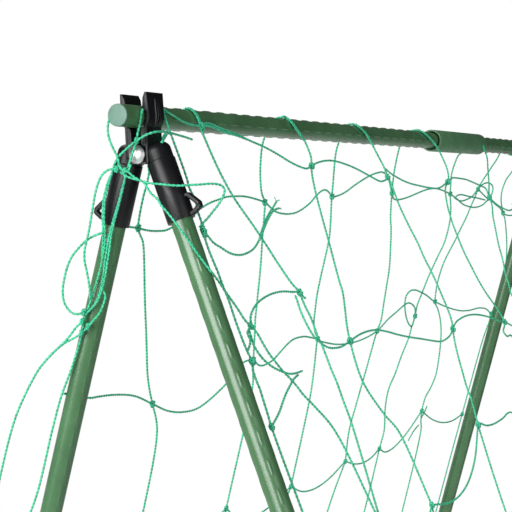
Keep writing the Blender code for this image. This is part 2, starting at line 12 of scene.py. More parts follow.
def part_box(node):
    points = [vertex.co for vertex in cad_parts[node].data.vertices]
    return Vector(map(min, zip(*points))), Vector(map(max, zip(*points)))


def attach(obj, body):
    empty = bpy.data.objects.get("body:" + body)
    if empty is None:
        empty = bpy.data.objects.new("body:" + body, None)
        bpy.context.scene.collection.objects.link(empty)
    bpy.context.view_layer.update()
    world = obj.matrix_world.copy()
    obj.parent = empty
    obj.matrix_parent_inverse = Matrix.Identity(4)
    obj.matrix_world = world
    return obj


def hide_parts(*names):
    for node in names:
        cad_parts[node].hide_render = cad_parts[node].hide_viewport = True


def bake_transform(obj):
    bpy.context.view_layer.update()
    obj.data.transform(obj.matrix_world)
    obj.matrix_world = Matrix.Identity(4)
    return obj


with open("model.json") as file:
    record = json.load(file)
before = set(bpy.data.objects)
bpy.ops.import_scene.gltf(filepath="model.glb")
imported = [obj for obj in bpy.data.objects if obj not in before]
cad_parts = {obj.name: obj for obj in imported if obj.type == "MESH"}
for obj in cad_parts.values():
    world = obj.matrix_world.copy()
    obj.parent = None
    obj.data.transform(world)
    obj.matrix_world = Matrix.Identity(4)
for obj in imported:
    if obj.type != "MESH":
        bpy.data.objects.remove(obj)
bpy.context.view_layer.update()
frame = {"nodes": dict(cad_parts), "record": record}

scene = bpy.context.scene
MM = 0.001

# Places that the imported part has, in metres: the pivot line, the rail's axis and the slope of the legs.
PIVOT = Vector((0.0, 0.0, 1.468434))
RAIL_AXIS_Z = 1.495434
STATION = 0.467
HALF_ANGLE = math.radians(18.5)
POLE_R = 8.0 * MM
POLE_BORE_R = 6.8 * MM
PANEL_OFFSET = 17.67 * MM
RAIL_HALF = 0.5
ALONG_RAIL = Vector((0, 1, 0))
SIDES = ((1, "front"), (-1, "back"))


def slope(side):
    """Unit vectors down the slope and out of it, on the front (1) or the back (-1)."""
    down = Vector((side * math.sin(HALF_ANGLE), 0, -math.cos(HALF_ANGLE)))
    out = Vector((side * math.cos(HALF_ANGLE), 0, math.sin(HALF_ANGLE)))
    return down, out


# The camera that fits the photo: where it stands, its turns and its lens.
EYE = Vector((0.58435, -1.39629, 1.406704))
YAW, PITCH, ROLL = (math.radians(a) for a in (28.215, -0.746, -2.969))
LENS = 108
SENSOR = 36
FRAME_PX = 512
LENS_PX = LENS / SENSOR * FRAME_PX


def camera_axes():
    """Unit vectors to the right of the picture, to its top and into it."""
    right = Vector((math.cos(YAW), math.sin(YAW), 0))
    ahead = Vector((-math.sin(YAW), math.cos(YAW), 0))
    up = Vector((0, 0, 1))
    forward = ahead * math.cos(PITCH) + up * math.sin(PITCH)
    top = up * math.cos(PITCH) - ahead * math.sin(PITCH)
    return right * math.cos(ROLL) + top * math.sin(ROLL), top * math.cos(ROLL) - right * math.sin(ROLL), forward


SIGHT = camera_axes()


def placed(name, data):
    """New object in the scene."""
    made = bpy.data.objects.new(name, data)
    scene.collection.objects.link(made)
    return made


def photo_camera():
    camera = placed("photo_camera", bpy.data.cameras.new("photo_camera"))
    camera.data.lens = LENS
    camera.data.sensor_width = SENSOR
    camera.data.clip_start = 0.05
    matrix = Matrix((SIGHT[0], SIGHT[1], -SIGHT[2])).transposed().to_4x4()
    matrix.translation = EYE
    camera.matrix_world = matrix
    scene.camera = camera


def ray_of(x, y):
    """Ray from the camera through a pixel of the photo's frame, one metre deep."""
    right, top, forward = SIGHT
    half = FRAME_PX / 2
    return forward + right * ((x - half) / LENS_PX) - top * ((y - half) / LENS_PX)


def pixel_of(point):
    """Pixel and depth of a point."""
    right, top, forward = SIGHT
    half = FRAME_PX / 2
    away = point - EYE
    depth = away.dot(forward)
    scale = LENS_PX / depth
    return half + scale * away.dot(right), half - scale * away.dot(top), depth


def part_tree(name):
    """Search tree of a CAD node, for rays."""
    mesh = frame["nodes"][name].data
    return BVHTree.FromPolygons([v.co for v in mesh.vertices], [p.vertices for p in mesh.polygons])


def material(name, colour, roughness):
    made = bpy.data.materials.new(name)
    made.use_nodes = True
    shader = made.node_tree.nodes["Principled BSDF"]
    shader.inputs["Base Color"].default_value = (*colour, 1)
    shader.inputs["Roughness"].default_value = roughness
    return made, made.node_tree, shader


def node(tree, kind, **values):
    made = tree.nodes.new(kind)
    for key, value in values.items():
        if key in made.inputs:
            made.inputs[key].default_value = value
        else:
            setattr(made, key, value)
    return made


def noise(tree, scale, detail):
    """Noise in the row frame, so it needs no UVs."""
    coords = node(tree, "ShaderNodeTexCoord")
    texture = node(tree, "ShaderNodeTexNoise", Scale=scale, Detail=detail)
    tree.links.new(coords.outputs["Object"], texture.inputs["Vector"])
    return texture.outputs["Fac"]


def spread(tree, value, low, high, low_out, high_out):
    ends = {"From Min": low, "From Max": high, "To Min": low_out, "To Max": high_out}
    made = node(tree, "ShaderNodeMapRange", **ends)
    tree.links.new(value, made.inputs["Value"])
    return made.outputs["Result"]


def mixed(tree, factor, first, second):
    """Shader that goes from the first to the second with the factor."""
    made = node(tree, "ShaderNodeMixShader")
    for source, socket in zip((factor, first, second), made.inputs):
        tree.links.new(source, socket)
    return made.outputs[0]


def look(name, colour, roughness, grain, tones=None, rough=None, **values):
    """Material with a fine bump as its grain, and a base colour and a roughness that drift between two values.

    Grain, tones and rough each begin with the scale and detail of their own noise."""
    made, tree, shader = material(name, colour, roughness)
    for key, value in values.items():
        shader.inputs[key.replace("_", " ")].default_value = value
    if tones:
        scale, detail, low, high, first, second = tones
        factor = spread(tree, noise(tree, scale, detail), low, high, 0, 1)
        mix = node(tree, "ShaderNodeMix", data_type="RGBA")
        mix.inputs["A"].default_value = (*first, 1)
        mix.inputs["B"].default_value = (*second, 1)
        tree.links.new(factor, mix.inputs["Factor"])
        tree.links.new(mix.outputs["Result"], shader.inputs["Base Color"])
    if rough:
        scale, detail, low, high = rough
        tree.links.new(spread(tree, noise(tree, scale, detail), 0.3, 0.7, low, high), shader.inputs["Roughness"])
    scale, detail, strength, distance = grain
    bump = node(tree, "ShaderNodeBump", Strength=strength, Distance=distance)
    tree.links.new(noise(tree, scale, detail), bump.inputs["Height"])
    tree.links.new(bump.outputs["Normal"], shader.inputs["Normal"])
    return made


LOOKS = {
    "coated_tube": look(
        "green_coating", (0.05, 0.15, 0.058), 0.34, (600, 2, 0.02, 0.0004),
        (38, 4, 0.35, 0.65, (0.049, 0.136, 0.056), (0.063, 0.166, 0.070)), (160, 2, 0.26, 0.30),
        Specular_IOR_Level=0.7),
    "sleeve_plastic": look(
        "sleeve_plastic", (0.055, 0.155, 0.075), 0.42, (1500, 2, 0.06, 0.0003),
        (60, 3, 0.35, 0.65, (0.063, 0.174, 0.079), (0.078, 0.207, 0.096)), (220, 3, 0.36, 0.48)),
    "cap_plastic": look(
        "cap_plastic", (0.30, 0.52, 0.38), 0.5, (1800, 2, 0.15, 0.0003),
        (300, 3, 0.3, 0.7, (0.100, 0.202, 0.152), (0.123, 0.238, 0.184))),
    "black_plastic": look(
        "black_plastic", (0.004, 0.004, 0.0055), 0.40, (420, 3, 0.03, 0.0004), rough=(90, 4, 0.37, 0.43),
        Specular_IOR_Level=0.44),
    "bright_steel": look(
        "bright_steel", (0.86, 0.87, 0.88), 0.34, (1200, 2, 0.03, 0.0002), rough=(500, 4, 0.42, 0.50), Metallic=1.0),
    "net_twine": look(
        "net_twine", (0.03, 0.50, 0.23), 0.45, (2600, 2, 0.3, 0.0003),
        (260, 3, 0.35, 0.65, (0.023, 0.40, 0.200), (0.050, 0.55, 0.305)),
        Subsurface_Weight=0.4, Subsurface_Radius=(0.5, 1.0, 0.7), Subsurface_Scale=0.002),
}


def mesh_piece(name, verts, faces, slot, smooth=True):
    mesh = bpy.data.meshes.new(name)
    mesh.from_pydata(verts, [], faces)
    mesh.validate()
    mesh.materials.append(LOOKS[slot])
    if smooth:
        mesh.polygons.foreach_set("use_smooth", [True] * len(mesh.polygons))
    made = placed(name, mesh)
    return made


# Poles: a coated tube with four rows of long bumps, neighbouring rows half a step apart. A bump fades out from
# BUMP_START before its end to BUMP_END past it, and the tube's sides crowd together at the rows.
BUMP_PITCH = 21.2 * MM
BUMP_LENGTH = 13.5 * MM
BUMP_START = 3.2 * MM
BUMP_END = 1.2 * MM
BUMP_HALF_ANGLE = math.radians(9)
RAIL_BUMP_HEIGHT = 0.6 * MM
LEG_BUMP_HEIGHT = 0.4 * MM
RAIL_ROW_ANGLE = math.radians(8.7)
LEG_ROW_ANGLE = {1: math.radians(45), -1: math.radians(30)}
RAIL_PHASE = 0.2
LEG_PHASE = 0.1
POLE_SIDES = 64
POLE_SHARP_ABOVE = math.radians(50)
SIDE_CROWDING = 0.15
RINGS_PER_PITCH = 14
LOWER_RINGS_PER_PITCH = 10
# Stretches with no bumps: the bumps' fade beside them, the clamps, the room beside the sleeves, and a length that
# reaches past either end of a tube.
BARE_FADE = 3 * MM
CLAMP_HALF = 14.5 * MM
SLEEVE_LEAD_IN = 6 * MM
SLEEVE_SHOULDER = 2 * MM
LEG_ROOM = 1 * MM
PAST_END = 1


def ramp(values, low, high):
    t = np.clip((values - low) / (high - low), 0, 1)
    return t * t * (3 - 2 * t)


def tube_faces(start, rings, sides, joined=False):
    """Faces of a tube whose rings begin at vertex start; its last ring is joined to the first, or both are capped."""
    faces = []
    last = start + (rings - 1) * sides
    for k in range(start, last + sides if joined else last, sides):
        after = start if k == last else k + sides
        for m in range(sides):
            n = (m + 1) % sides
            faces.append([k + m, k + n, after + n, after + m])
    if not joined:
        faces += [list(range(start + sides - 1, start - 1, -1)), list(range(last, last + sides))]
    return faces


def bumpy_pole(name, cad_node, body, start, direction, length, row_angle, phase, bare, rings_per_pitch, bump):
    """Closed tube from start along direction; bare lists the stretches with no bumps, as (from, to)."""
    direction = direction.normalized()
    across = Vector((0, 1, 0)) if abs(direction.y) < 0.5 else Vector((1, 0, 0))
    across = (across - direction * across.dot(direction)).normalized()
    other = direction.cross(across)
    along = np.linspace(0, length, int(length / BUMP_PITCH * rings_per_pitch) + 2)
    angle = np.arange(POLE_SIDES) * 2 * math.pi / POLE_SIDES
    angle = angle - SIDE_CROWDING * np.sin(4 * (angle - row_angle))
    keep = np.ones_like(along)
    for low, high in bare:
        keep *= 1 - ramp(along, low - BARE_FADE, low) * (1 - ramp(along, high, high + BARE_FADE))
    height = np.zeros((len(along), POLE_SIDES))
    for row in range(4):
        off = np.angle(np.exp(1j * (angle - row_angle - row * math.pi / 2)))
        around = np.cos(np.clip(np.abs(off) / BUMP_HALF_ANGLE, 0, 1) * math.pi / 2) ** 2
        step = along / BUMP_PITCH - phase - 0.5 * (row % 2)
        off_along = np.abs(step - np.round(step)) * BUMP_PITCH
        lengthwise = 1 - ramp(off_along, BUMP_LENGTH / 2 - BUMP_START, BUMP_LENGTH / 2 + BUMP_END)
        height += np.outer(lengthwise * keep, around)
    bore = np.full((2, POLE_SIDES), POLE_BORE_R)
    radii = np.concatenate([POLE_R + bump * height, bore])
    places = np.concatenate([along, [length, 0]])
    start, a, b, d = (np.array(v) for v in (start, across, other, direction))
    circle = np.cos(angle)[:, None] * a + np.sin(angle)[:, None] * b
    verts = start + places[:, None, None] * d + radii[..., None] * circle
    faces = tube_faces(0, len(places), POLE_SIDES, True)
    made = mesh_piece(name, verts.reshape(-1, 3).tolist(), faces, "coated_tube")
    made.data.set_sharp_from_angle(angle=POLE_SHARP_ABOVE)
    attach(made, body)
    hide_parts(cad_node)


# Outline of a clamp's seat, in mm: how far out from the pivot line, and the height above the ground.
SEAT_OUTLINE = ((7.4, 1487.9), (5.4, 1487.6), (4.3, 1486.4), (3.9, 1484.0), (3.9, 1475.2), (5.0, 1474.2),
                (7.4, 1473.8))
SEAT_GAP = 1.0 * MM
SEAT_EDGE = 0.4 * MM

# Middles of the two ribs, in mm from the pivot: along the rail and up. Rays from RAY_START_X bring them onto the jaw.
JAW_RIBS = [
    [(-1.6, 38.5), (0.4, 34.5), (1.2, 30.0), (1.0, 25.5), (-0.6, 20.5), (-2.6, 16.0), (-3.6, 11.5)],
    [(3.2, 39.0), (4.4, 34.0), (4.8, 28.5), (4.2, 23.0), (2.6, 18.0), (1.8, 13.5)],
]
RIB_STEP = 0.7
RIB_LIFT = 0.42
RIB_HALF_WIDTH = 0.5
RIB_SIDES = 8
RAY_START_X = 0.03


def clamp_seats():
    """Thick part of each clamp half under the rail, between the jaw and the ear."""
    for end in ("near", "far"):
        for side, side_name in SIDES:
            low, high = (v.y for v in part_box(f"clamp_{end}_{side_name}"))
            edges = (low + SEAT_GAP, high - SEAT_GAP)
            verts = [(side * x * MM, edge, z * MM) for edge in edges for x, z in SEAT_OUTLINE]
            faces = tube_faces(0, 2, len(SEAT_OUTLINE))
            if side < 0:
                faces = [face[::-1] for face in faces]
            name = f"clamp_seat_{end}_{side_name}"
            made = mesh_piece(name, verts, faces, "black_plastic", False)
            bevel = made.modifiers.new("edge", "BEVEL")
            bevel.width = SEAT_EDGE
            bevel.segments = 2
            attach(made, "root" if side < 0 else "front_leg_" + end)


def clamp_ribs():
    """Curved ribs on the jaw's outer face, the same on all four clamp halves."""
    ring = np.arange(RIB_SIDES) * 2 * math.pi / RIB_SIDES
    for end, turn in (("near", 1), ("far", -1)):
        for side, side_name in SIDES:
            verts, faces = [], []
            tree = part_tree(f"clamp_{end}_{side_name}")
            for route in JAW_RIBS:
                path = []
                for y, z in smooth_path([(y, z, 0) for y, z in route], RIB_STEP)[:, :2]:
                    place = Vector((side * RAY_START_X, -turn * STATION + turn * y * MM, PIVOT.z + z * MM))
                    path.append(tuple(tree.ray_cast(place, Vector((-side, 0, 0)))[0]))
                start = len(verts)
                for k, place in enumerate(path):
                    slim = math.sin(math.pi * (k + 0.5) / len(path)) ** 0.4
                    for a in ring:
                        lift, wide = RIB_LIFT * slim * math.cos(a) * MM, RIB_HALF_WIDTH * slim * math.sin(a) * MM
                        verts.append((place[0] + side * lift, place[1] + wide, place[2]))
                faces += tube_faces(start, len(path), RIB_SIDES)
            name = f"clamp_ribs_{end}_{side_name}"
            made = mesh_piece(name, verts, faces, "black_plastic")
            bm = bmesh.new()
            bm.from_mesh(made.data)
            bmesh.ops.recalc_face_normals(bm, faces=bm.faces)
            bm.to_mesh(made.data)
            bm.free()
            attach(made, "root" if side < 0 else "front_leg_" + end)


def ends_of(cad_node, axis_point, direction):
    """Where a CAD tube starts and stops along its axis."""
    mesh = frame["nodes"][cad_node].data
    along = [(v.co - axis_point).dot(direction) for v in mesh.vertices]
    return min(along), max(along)


def build_poles():
    axis = Vector((0, 0, RAIL_AXIS_Z))
    for part, jaws in (("near", -STATION), ("far", STATION)):
        cad = "rail_tube_" + part
        low, high = ends_of(cad, axis, ALONG_RAIL)
        sleeve_low, sleeve_high = (v.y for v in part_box("rail_sleeve"))
        end = (jaws - CLAMP_HALF, jaws + PAST_END) if part == "far" else (jaws - PAST_END, jaws + CLAMP_HALF)
        bare = [(end[0] - low, end[1] - low)]
        bare.append((sleeve_low - SLEEVE_LEAD_IN - low, sleeve_high + SLEEVE_SHOULDER - low))
        bumpy_pole("rail_pole_" + part, cad, "root", axis + ALONG_RAIL * low, ALONG_RAIL, high - low,
                   RAIL_ROW_ANGLE, RAIL_PHASE, bare, RINGS_PER_PITCH, RAIL_BUMP_HEIGHT)
    for side, side_name in SIDES:
        down = slope(side)[0]
        for end in ("near", "far"):
            body = "root" if side < 0 else "front_leg_" + end
            for part in ("upper", "lower"):
                cad = f"leg_{part}_{end}_{side_name}"
                vertices = frame["nodes"][cad].data.vertices
                middle = sum((v.co for v in vertices), Vector()) / len(vertices)
                low, high = ends_of(cad, middle, down)
                sleeve_low, sleeve_high = ends_of(f"leg_sleeve_{end}_{side_name}", middle, down)
                clamp_end = ends_of(f"clamp_{end}_{side_name}", middle, down)[1]
                bare = [(sleeve_low - LEG_ROOM - low, sleeve_high + LEG_ROOM - low)]
                bare.append((-PAST_END, clamp_end + LEG_ROOM - low))
                fine = RINGS_PER_PITCH if part == "upper" else LOWER_RINGS_PER_PITCH
                bumpy_pole(f"pole_{part}_{end}_{side_name}", cad, body, middle + down * low, down, high - low,
                           LEG_ROW_ANGLE[side], LEG_PHASE, bare, fine, LEG_BUMP_HEIGHT)


# Net: two-strand laid twine. Its cords follow places read off the photo, as pixels of the 512 x 512 frame, and a ray
# from the photo's camera carries each one onto the net's own surfaces.
TWINE_LAY = 6.4 * MM
TWINE_STRAND_R = 0.67 * MM
TWINE_STRAND_OFF = 0.37 * MM
TWINE_STEPS = 6
TWINE_SIDES = 8
# Cords laid over the near parts: the room in front of a part, the least that a slanted face counts, the weight of
# 1 / depth beside pixels, the step in pixels, and the neighbours on each side that smooth a depth.
CORD_CLEAR = 1.35 * MM
LEAST_FACING = 0.35
NEARNESS = 1500
PATH_STEP_PX = 1.5
SMOOTH_REACH = 2
# The net's surfaces: v is the way down the slope from the pivot line, which is negative above it.
NET_LIFT = 0.25 * MM
RAIL_WRAP_R = 9.35 * MM
TANGENT_V = -27 * MM * math.cos(HALF_ANGLE)
BEHIND_V = -0.0215
FAR_COLUMNS_V = -0.022
ARC_STOPS_SHORT = math.radians(12)
ARC_STEPS = 8
NET_ROWS = 9
MESH = 0.15
TOP_ROW_V = {1: 0.0084, -1: 0.0334}
RIPPLE = 4.0 * MM
# Cords doubled over the rail: the first one, the step, the way below the rail's axis, the steps in which the second
# parts from the first and joins it, and the gap in mm.
FIRST_DOUBLED = 3
DOUBLE_STEP = 2 * MM
DOUBLE_REACH = 13 * MM
PARTING = 5
DOUBLE_GAP = 1.9
# How far the cords and knots that the photo doesn't show stray, as ranges.
SAG, SWAY, BULGE = (0.008, 0.024), (-0.010, 0.010), (-0.003, 0.004)
KNOT_SHIFT, KNOT_DROP = (-0.010, 0.010), (-0.010, 0.006)
PHOTO_KNOT_SIZE = 1.05
KNOT_SIZE = 0.95
EDGE_KNOT_SIZE = 0.9
EDGE_KNOT_LIFT = 0.8
LONG_KNOT, LONG_STRETCH = "f0.0", 2.0
TAIL_LIFT = 3.5 * MM

# Where the columns stand along the rail in the third row, which the photo crops, and in an even net.
SLACK_COLUMNS = {
    1: (0.0495, 0.165, 0.250, 0.420, 0.575, 0.690, 0.830, 0.9515),
    -1: (0.0495, 0.190, 0.335, 0.475, 0.590, 0.700, 0.800, 0.9515),
}
EVEN_COLUMNS = (0.0495, 0.100, 0.250, 0.400, 0.550, 0.700, 0.850, 0.9515)

# Knots that the photo shows: f is the front panel and b the back, then column and row, or a letter for a loose one.
PHOTO_KNOTS = {
    "f0.0": (203.3, 230.6), "f1.0": (201.4, 126), "f2.0": (311.5, 166), "f3.0": (387.5, 177), "f4.0": (447.5, 182),
    "f5.0": (489.4, 197), "f0.1": (252, 361.5), "f1.1": (299.6, 292.6), "f2.1": (350, 341), "f3.1": (452.8, 329),
    "f4.1": (504.6, 322), "f3.2": (478, 425), "fa": (271.5, 427), "fb": (250.7, 326),
    "b1.0": (138, 228), "b2.0": (264.7, 202.3), "b3.0": (331.8, 196.6), "b4.0": (391.8, 193), "b5.0": (450.2, 194),
    "b6.0": (478, 189), "b7.0": (503, 213), "b1.1": (152.4, 404), "b2.1": (253.3, 360), "b3.1": (317.5, 339),
    "b4.1": (377, 331), "b5.1": (415, 316), "b6.1": (435, 301.6), "b7.1": (491, 314), "b6.2": (421.7, 411),
}


# Cords. A pair is a pixel, a third number is how far the point stands past the near clamp's middle in mm, a name is
# a knot, and a Vector is a place in the row frame. ("over", s) starts on the back of the rail, s along it, and goes
# over to the next point, and ("behind", s) starts where the back panel leaves the rail. ("panel", s, v, lift) is a
# place on the panel, and "sight" keeps a stop of three numbers out of the stretch that is laid over the parts.
FRONT_CORDS = [
    [("over", 0.058), (164, 112), (164.6, 116), (166.2, 121.3), (168.5, 127.4), (170.5, 133), (172.3, 138),
     (176, 148), (180.6, 160.5), (184.4, 171)],
    [(184.4, 171), (187.6, 181), (189, 187), (190.8, 191), (194.3, 198.5), (196.5, 205), (198.2, 212.5),
     (201.4, 222), "f0.0", (205.3, 239), (209, 250.5), (213.7, 262), (217.5, 271), (220.6, 279.6), (224.4, 289.5),
     (229, 301), (234.6, 318), (239.2, 331), (243.8, 343), (247.6, 352), "f0.1", (253, 370), (256, 379.5),
     (260, 389.4), (263.3, 400), (268, 415), "fa", "f0.2"],
    [("over", 0.062), (164.3, 109.8), (168.5, 113), (174.6, 116.7), (181.5, 121), (188.4, 124), (195.3, 125.5),
     "f1.0", (205, 123.7), (210.5, 124), (217.3, 127), (226.5, 130.6), (238, 135), (249.5, 140.6), (264.2, 147),
     (278, 154.6), (290, 162), (299.4, 166.6), (306.8, 168.6), "f2.0", (315, 163.8), (321.6, 161.5), (329, 160.6),
     (336.4, 161.5), (345.6, 164.3), (356.7, 169), (366, 174), (374.3, 178.6), (380.8, 181.4), "f3.0", (385, 169),
     (390, 173), (398.5, 178.3), (408.6, 183), (420.4, 186), (430.5, 188), (439, 188), "f4.0", (452.4, 178),
     (458.3, 178.3), (466, 179.6), (474.3, 183), (481, 186), (486, 189), "f5.0", (495, 203), (502, 207.8),
     (512, 209.4), "f6.0"],
    [("over", 0.103), (193.7, 110.6), (196.8, 114.4), (199.8, 120.6), "f1.0", (203, 133.6), (206.7, 142.8),
     (210.6, 152), (219, 170.4), (226.5, 185), (233.4, 197), (241, 208.4), (253.5, 226), (265.7, 244.4),
     (279.5, 265.8), (291.7, 283.4), "f1.1", (302, 299), (306.5, 309), (311, 318), (314, 326), (318, 337),
     (321.8, 345), (326.4, 356.5), (331, 369), (337, 383), (343, 400), (349, 416), (354, 431), "f1.2"],
    [("over", 0.243), (284, 116.6), (286.4, 117.6), (292, 122), (296.6, 128.7), (301, 135), (305, 141.6),
     (308.6, 150), (311, 157), "f2.0", (312, 174), (314, 185), (317, 198), (323.4, 222), (329, 242.4), (339, 280),
     (342.5, 291.5), (344.8, 307), (347, 326), "f2.1", (362, 380), (384, 414), (399, 432), "f2.2"],
    [("over", 0.388), (357, 125), (360.4, 127.7), (366, 133.3), (370.6, 140.7), (375, 150), (380.8, 161),
     (384.5, 168.4), "f3.0", (391, 183), (396.6, 198.5), (401, 209.4), (411, 230), (418, 243.5), (424.6, 258.6),
     (431, 271), (437, 284), (443, 298), (448, 310), (452, 322), "f3.1", (455, 342.6), (458.3, 357), (462.5, 372),
     (466.7, 387), (470.5, 397), (474.3, 410), "f3.2"],
    [("over", 0.533), (418, 129.7), (420.4, 130.7), (425.5, 133.7), (430.5, 138.7), (435.6, 144.6), (439, 150.5),
     (443, 159), (446.5, 167), (448.6, 175.8), "f4.0", (445.4, 189), (446, 197), (448, 208), (450.3, 216),
     (453, 224.6), (457.4, 236), (464, 252), (471, 266), (477.7, 279), (485, 291.5), (493, 303), (500.4, 314),
     "f4.1", (503.6, 332), (507, 336.3), (512, 336.5), "f4.2"],
    [("over", 0.7385), (483, 144.5), (484.8, 150.5), (487, 157), (488, 170), (489, 182.5), "f5.0", (492, 205),
     (493, 216), (495.7, 230), (498.7, 245), (503, 261), (505.4, 274), (508.8, 284), (512, 295.7), "f5.1"],
    [(247.5, 352), (250.4, 341), (247.6, 333), "fb", (250.7, 316.7), (253, 309.8), (257.6, 303), (264.4, 297.6),
     (272, 293.8), (279, 292), (285, 291.5), (291, 292), "f1.1", (302.5, 296), (305.4, 298.4)],
    [(295, 295.3), (296.6, 299), (300.4, 310.6), (305, 321), (309.6, 329.7), (314, 336.6), (318, 340.5),
     (323.4, 345), (328.7, 347.7), (335.6, 348), (341.7, 346.6), "f2.1", (362, 333.4), (376, 330), (388.4, 332),
     (396.8, 334.4), (408.6, 337), (422, 339), (432, 340.7), (440.6, 341.5), (445.7, 339.4), (450.7, 334.4), "f3.1",
     (455.8, 322.6), (460.8, 318.4), (467.6, 315.4), (476, 314.6), (485, 316), (493, 318.4), (499.5, 321), "f4.1"],
    ["fb", (249, 330), (250.7, 335), (253.7, 345), (257.6, 352), (263, 359), (268.3, 364), (276, 369), (283, 372),
     (288, 373.7), (293.5, 373.7), (298, 372.6), (302, 371)],
    [(298, 375), (293.5, 379.5), (290.5, 385), (286.6, 392.5), (283.6, 400), (279, 413), "fa"],
    ["f1.0", (206, 125.6), (212, 127.0), (219, 130.0), (228, 133.2), (238, 136.2), (246, 139.2)],
    ["f3.2", (480, 423.4), (486, 425.5), (493.6, 424), (502, 419), (512, 412.5), "f4.2"],
]
BACK_CORDS = [
    [("behind", 0.103), (148.6, 163), (149, 172.6), (147.8, 179.5), (146, 187), (143, 198), "b1.0", (139.6, 234),
     (142.7, 241.5), (143.8, 253), (144.2, 268), (144.6, 291), (145.3, 314), (146, 329.5), (146.6, 350),
     (147.5, 375), (150, 393), "b1.1", (157, 431), "b1.2"],
    [("behind", 0.243), (264.8, 136.7), (263.3, 141), (261.7, 149), (260.6, 161), (260.2, 172.7), (260.6, 184),
     (261.7, 193.4), "b2.0", (264.2, 215), (262.3, 238), (261, 260), (259.6, 276.5), (258, 292), (256.5, 307),
     (255.3, 318), (254.5, 337), "b2.1", (253, 372), (252.2, 389), "b2.2"],
    [("behind", 0.388), (338.7, 142.5), (336.4, 150), (335, 159), (334, 170), (333, 183), "b3.0", (331.3, 204),
     (331, 211), (330.4, 225), (329, 239), (320, 280), (317, 295), (315, 310.6), (313.8, 323), (315, 332), "b3.1",
     (316.5, 345), (315, 360), (312.7, 379.5), (310.4, 395), (303, 431), "b3.2"],
    [("behind", 0.533), (399.5, 147), (396.6, 159), (394, 173), (392.5, 185), "b4.0", (390.5, 218), (391, 230),
     (390.5, 247), (389.3, 268), (386.7, 285), (384, 301.6), (380.8, 321), "b4.1", (366, 370), (356, 405),
     (349, 431), "b4.2"],
    [("behind", 0.7385), (466, 151), (458.3, 155.6), (454, 165.7), (451.6, 174), (450.7, 184), "b5.0",
     (450.7, 209.4), (450, 219.5), (448, 230), (444, 243.5), (438, 256), (431, 271), (426.3, 282), (422, 293),
     (417, 306), "b5.1", (411.6, 327), (408.6, 338), (401, 357), (395, 374), (389.3, 387), (386.7, 397), (385, 410),
     (384, 431), "b5.2"],
    [("behind", 0.842), (497, 159), (492, 166.5), (487, 174), (482, 181.7), "b6.0", (475, 197), (471, 206),
     (466, 218), (460, 230), (455.8, 239), (450, 250), (444, 262), (439.8, 274), (437, 284.7), (435.6, 294), "b6.1",
     (438, 310), (440, 318.4), (441, 329), (440.6, 342), (438, 363.7), (435.6, 375.5), (430.5, 388), (425.5, 397),
     "b6.2", (420.8, 421), (420.8, 431), "b6.3"],
    [("behind", 0.930), (512, 171.6), (506, 180), (502, 191), (501, 199), "b7.0", (504.6, 218), (506, 230),
     (506.7, 242.6), (506.2, 259.5), (503.7, 277), (500.4, 292), (496, 304), "b7.1", (489, 322), (486, 330),
     (482, 342), "b7.2"],
    [(121, 226), (126, 226.6), (130, 227.1), "b1.0"],
    [(427, 406), (424.6, 411.7), (421, 418.4)],
    [(418.7, 425), (413.7, 431), Vector((-0.1262, 0.285, 1.155))],
    ["b1.0", (145, 230), (152, 231), (159.5, 231), (167, 230), (185, 219), (204.5, 206), (211, 202.5), (219, 199.5),
     (226.5, 197), (234, 196.4), (243.4, 196.4), (251.8, 198), (259.4, 200.3), "b2.0", (270.7, 207.7), (276.3, 212),
     (282.7, 213.7), (289, 214), (296.6, 212.4), (304, 208), (310.5, 202.6), (316, 196), (321.6, 191), (325.3, 190),
     (329, 192.5), "b3.0", (338, 195.7), (345.6, 192), (353, 186.5), (361, 181), (369.7, 175.8), (377, 173),
     (383, 172.4), (388, 178), "b4.0", (393.5, 198.5), (396, 199.8), (401, 199.3), (408.6, 197), (417, 193.4),
     (425.5, 190), (434, 188.4), (440.6, 189.7), (445.7, 191.8), "b5.0", (454, 196.8), (457.4, 199.3), (462.5, 204),
     (468.4, 206.5), (476, 207.3), (482.7, 204.8), (488.6, 200), (496, 205), (500.4, 208.6), "b7.0", (506.3, 215),
     (512, 215.3), (518, 213)],
    [(454.8, 198.5), (456.6, 196), (460.8, 194.7), (468.4, 196.4), (476.8, 198), (485, 200)],
    [(455.8, 199), (460.8, 201), (466, 199.8), (472.6, 196), "b6.0", (483.5, 184), (488.6, 183), (492.4, 186),
     (492.8, 190), (491, 196), (488.6, 200)],
    ["b6.0", (482, 193.4), (487.8, 199)],
    [("panel", 0.0275, 0.186, 0.0012), ("panel", 0.033, 0.187, 0.0028), ("panel", 0.045, 0.190, 0.0015), (91, 398),
     (97, 397), (113, 395), (134, 396), "b1.1", (168, 411), (184, 412), (200, 407), (226, 384), (243, 363),
     (248.4, 360.4), "b2.1", (258.3, 365), (262, 365.7), (266.7, 364), (273, 360), (279, 353.5), (286.6, 345),
     (292.8, 339.7), (299, 337.4), (305, 336.6), (312.7, 338), "b3.1", (320, 341), (326.4, 342.8), (335.6, 344.3),
     (344.8, 344), (361, 340), "b4.1", (388.4, 319), (396.8, 311.7), (404.4, 305), (408.6, 303), (412.8, 305),
     (415, 309), "b5.1"],
    ["b5.1", (412, 326), (409.5, 325), (407, 320), (405.3, 312.5), (404.8, 304), (406, 296.5), (409.5, 291.5),
     (414.5, 290), (420.4, 292), (427, 295.7), (432, 300), "b6.1", (440.6, 304.5), (445.7, 306.6), (452.4, 309),
     (460.8, 310.8), (469, 310.4), (479, 308), (486, 309), "b7.1"],
]
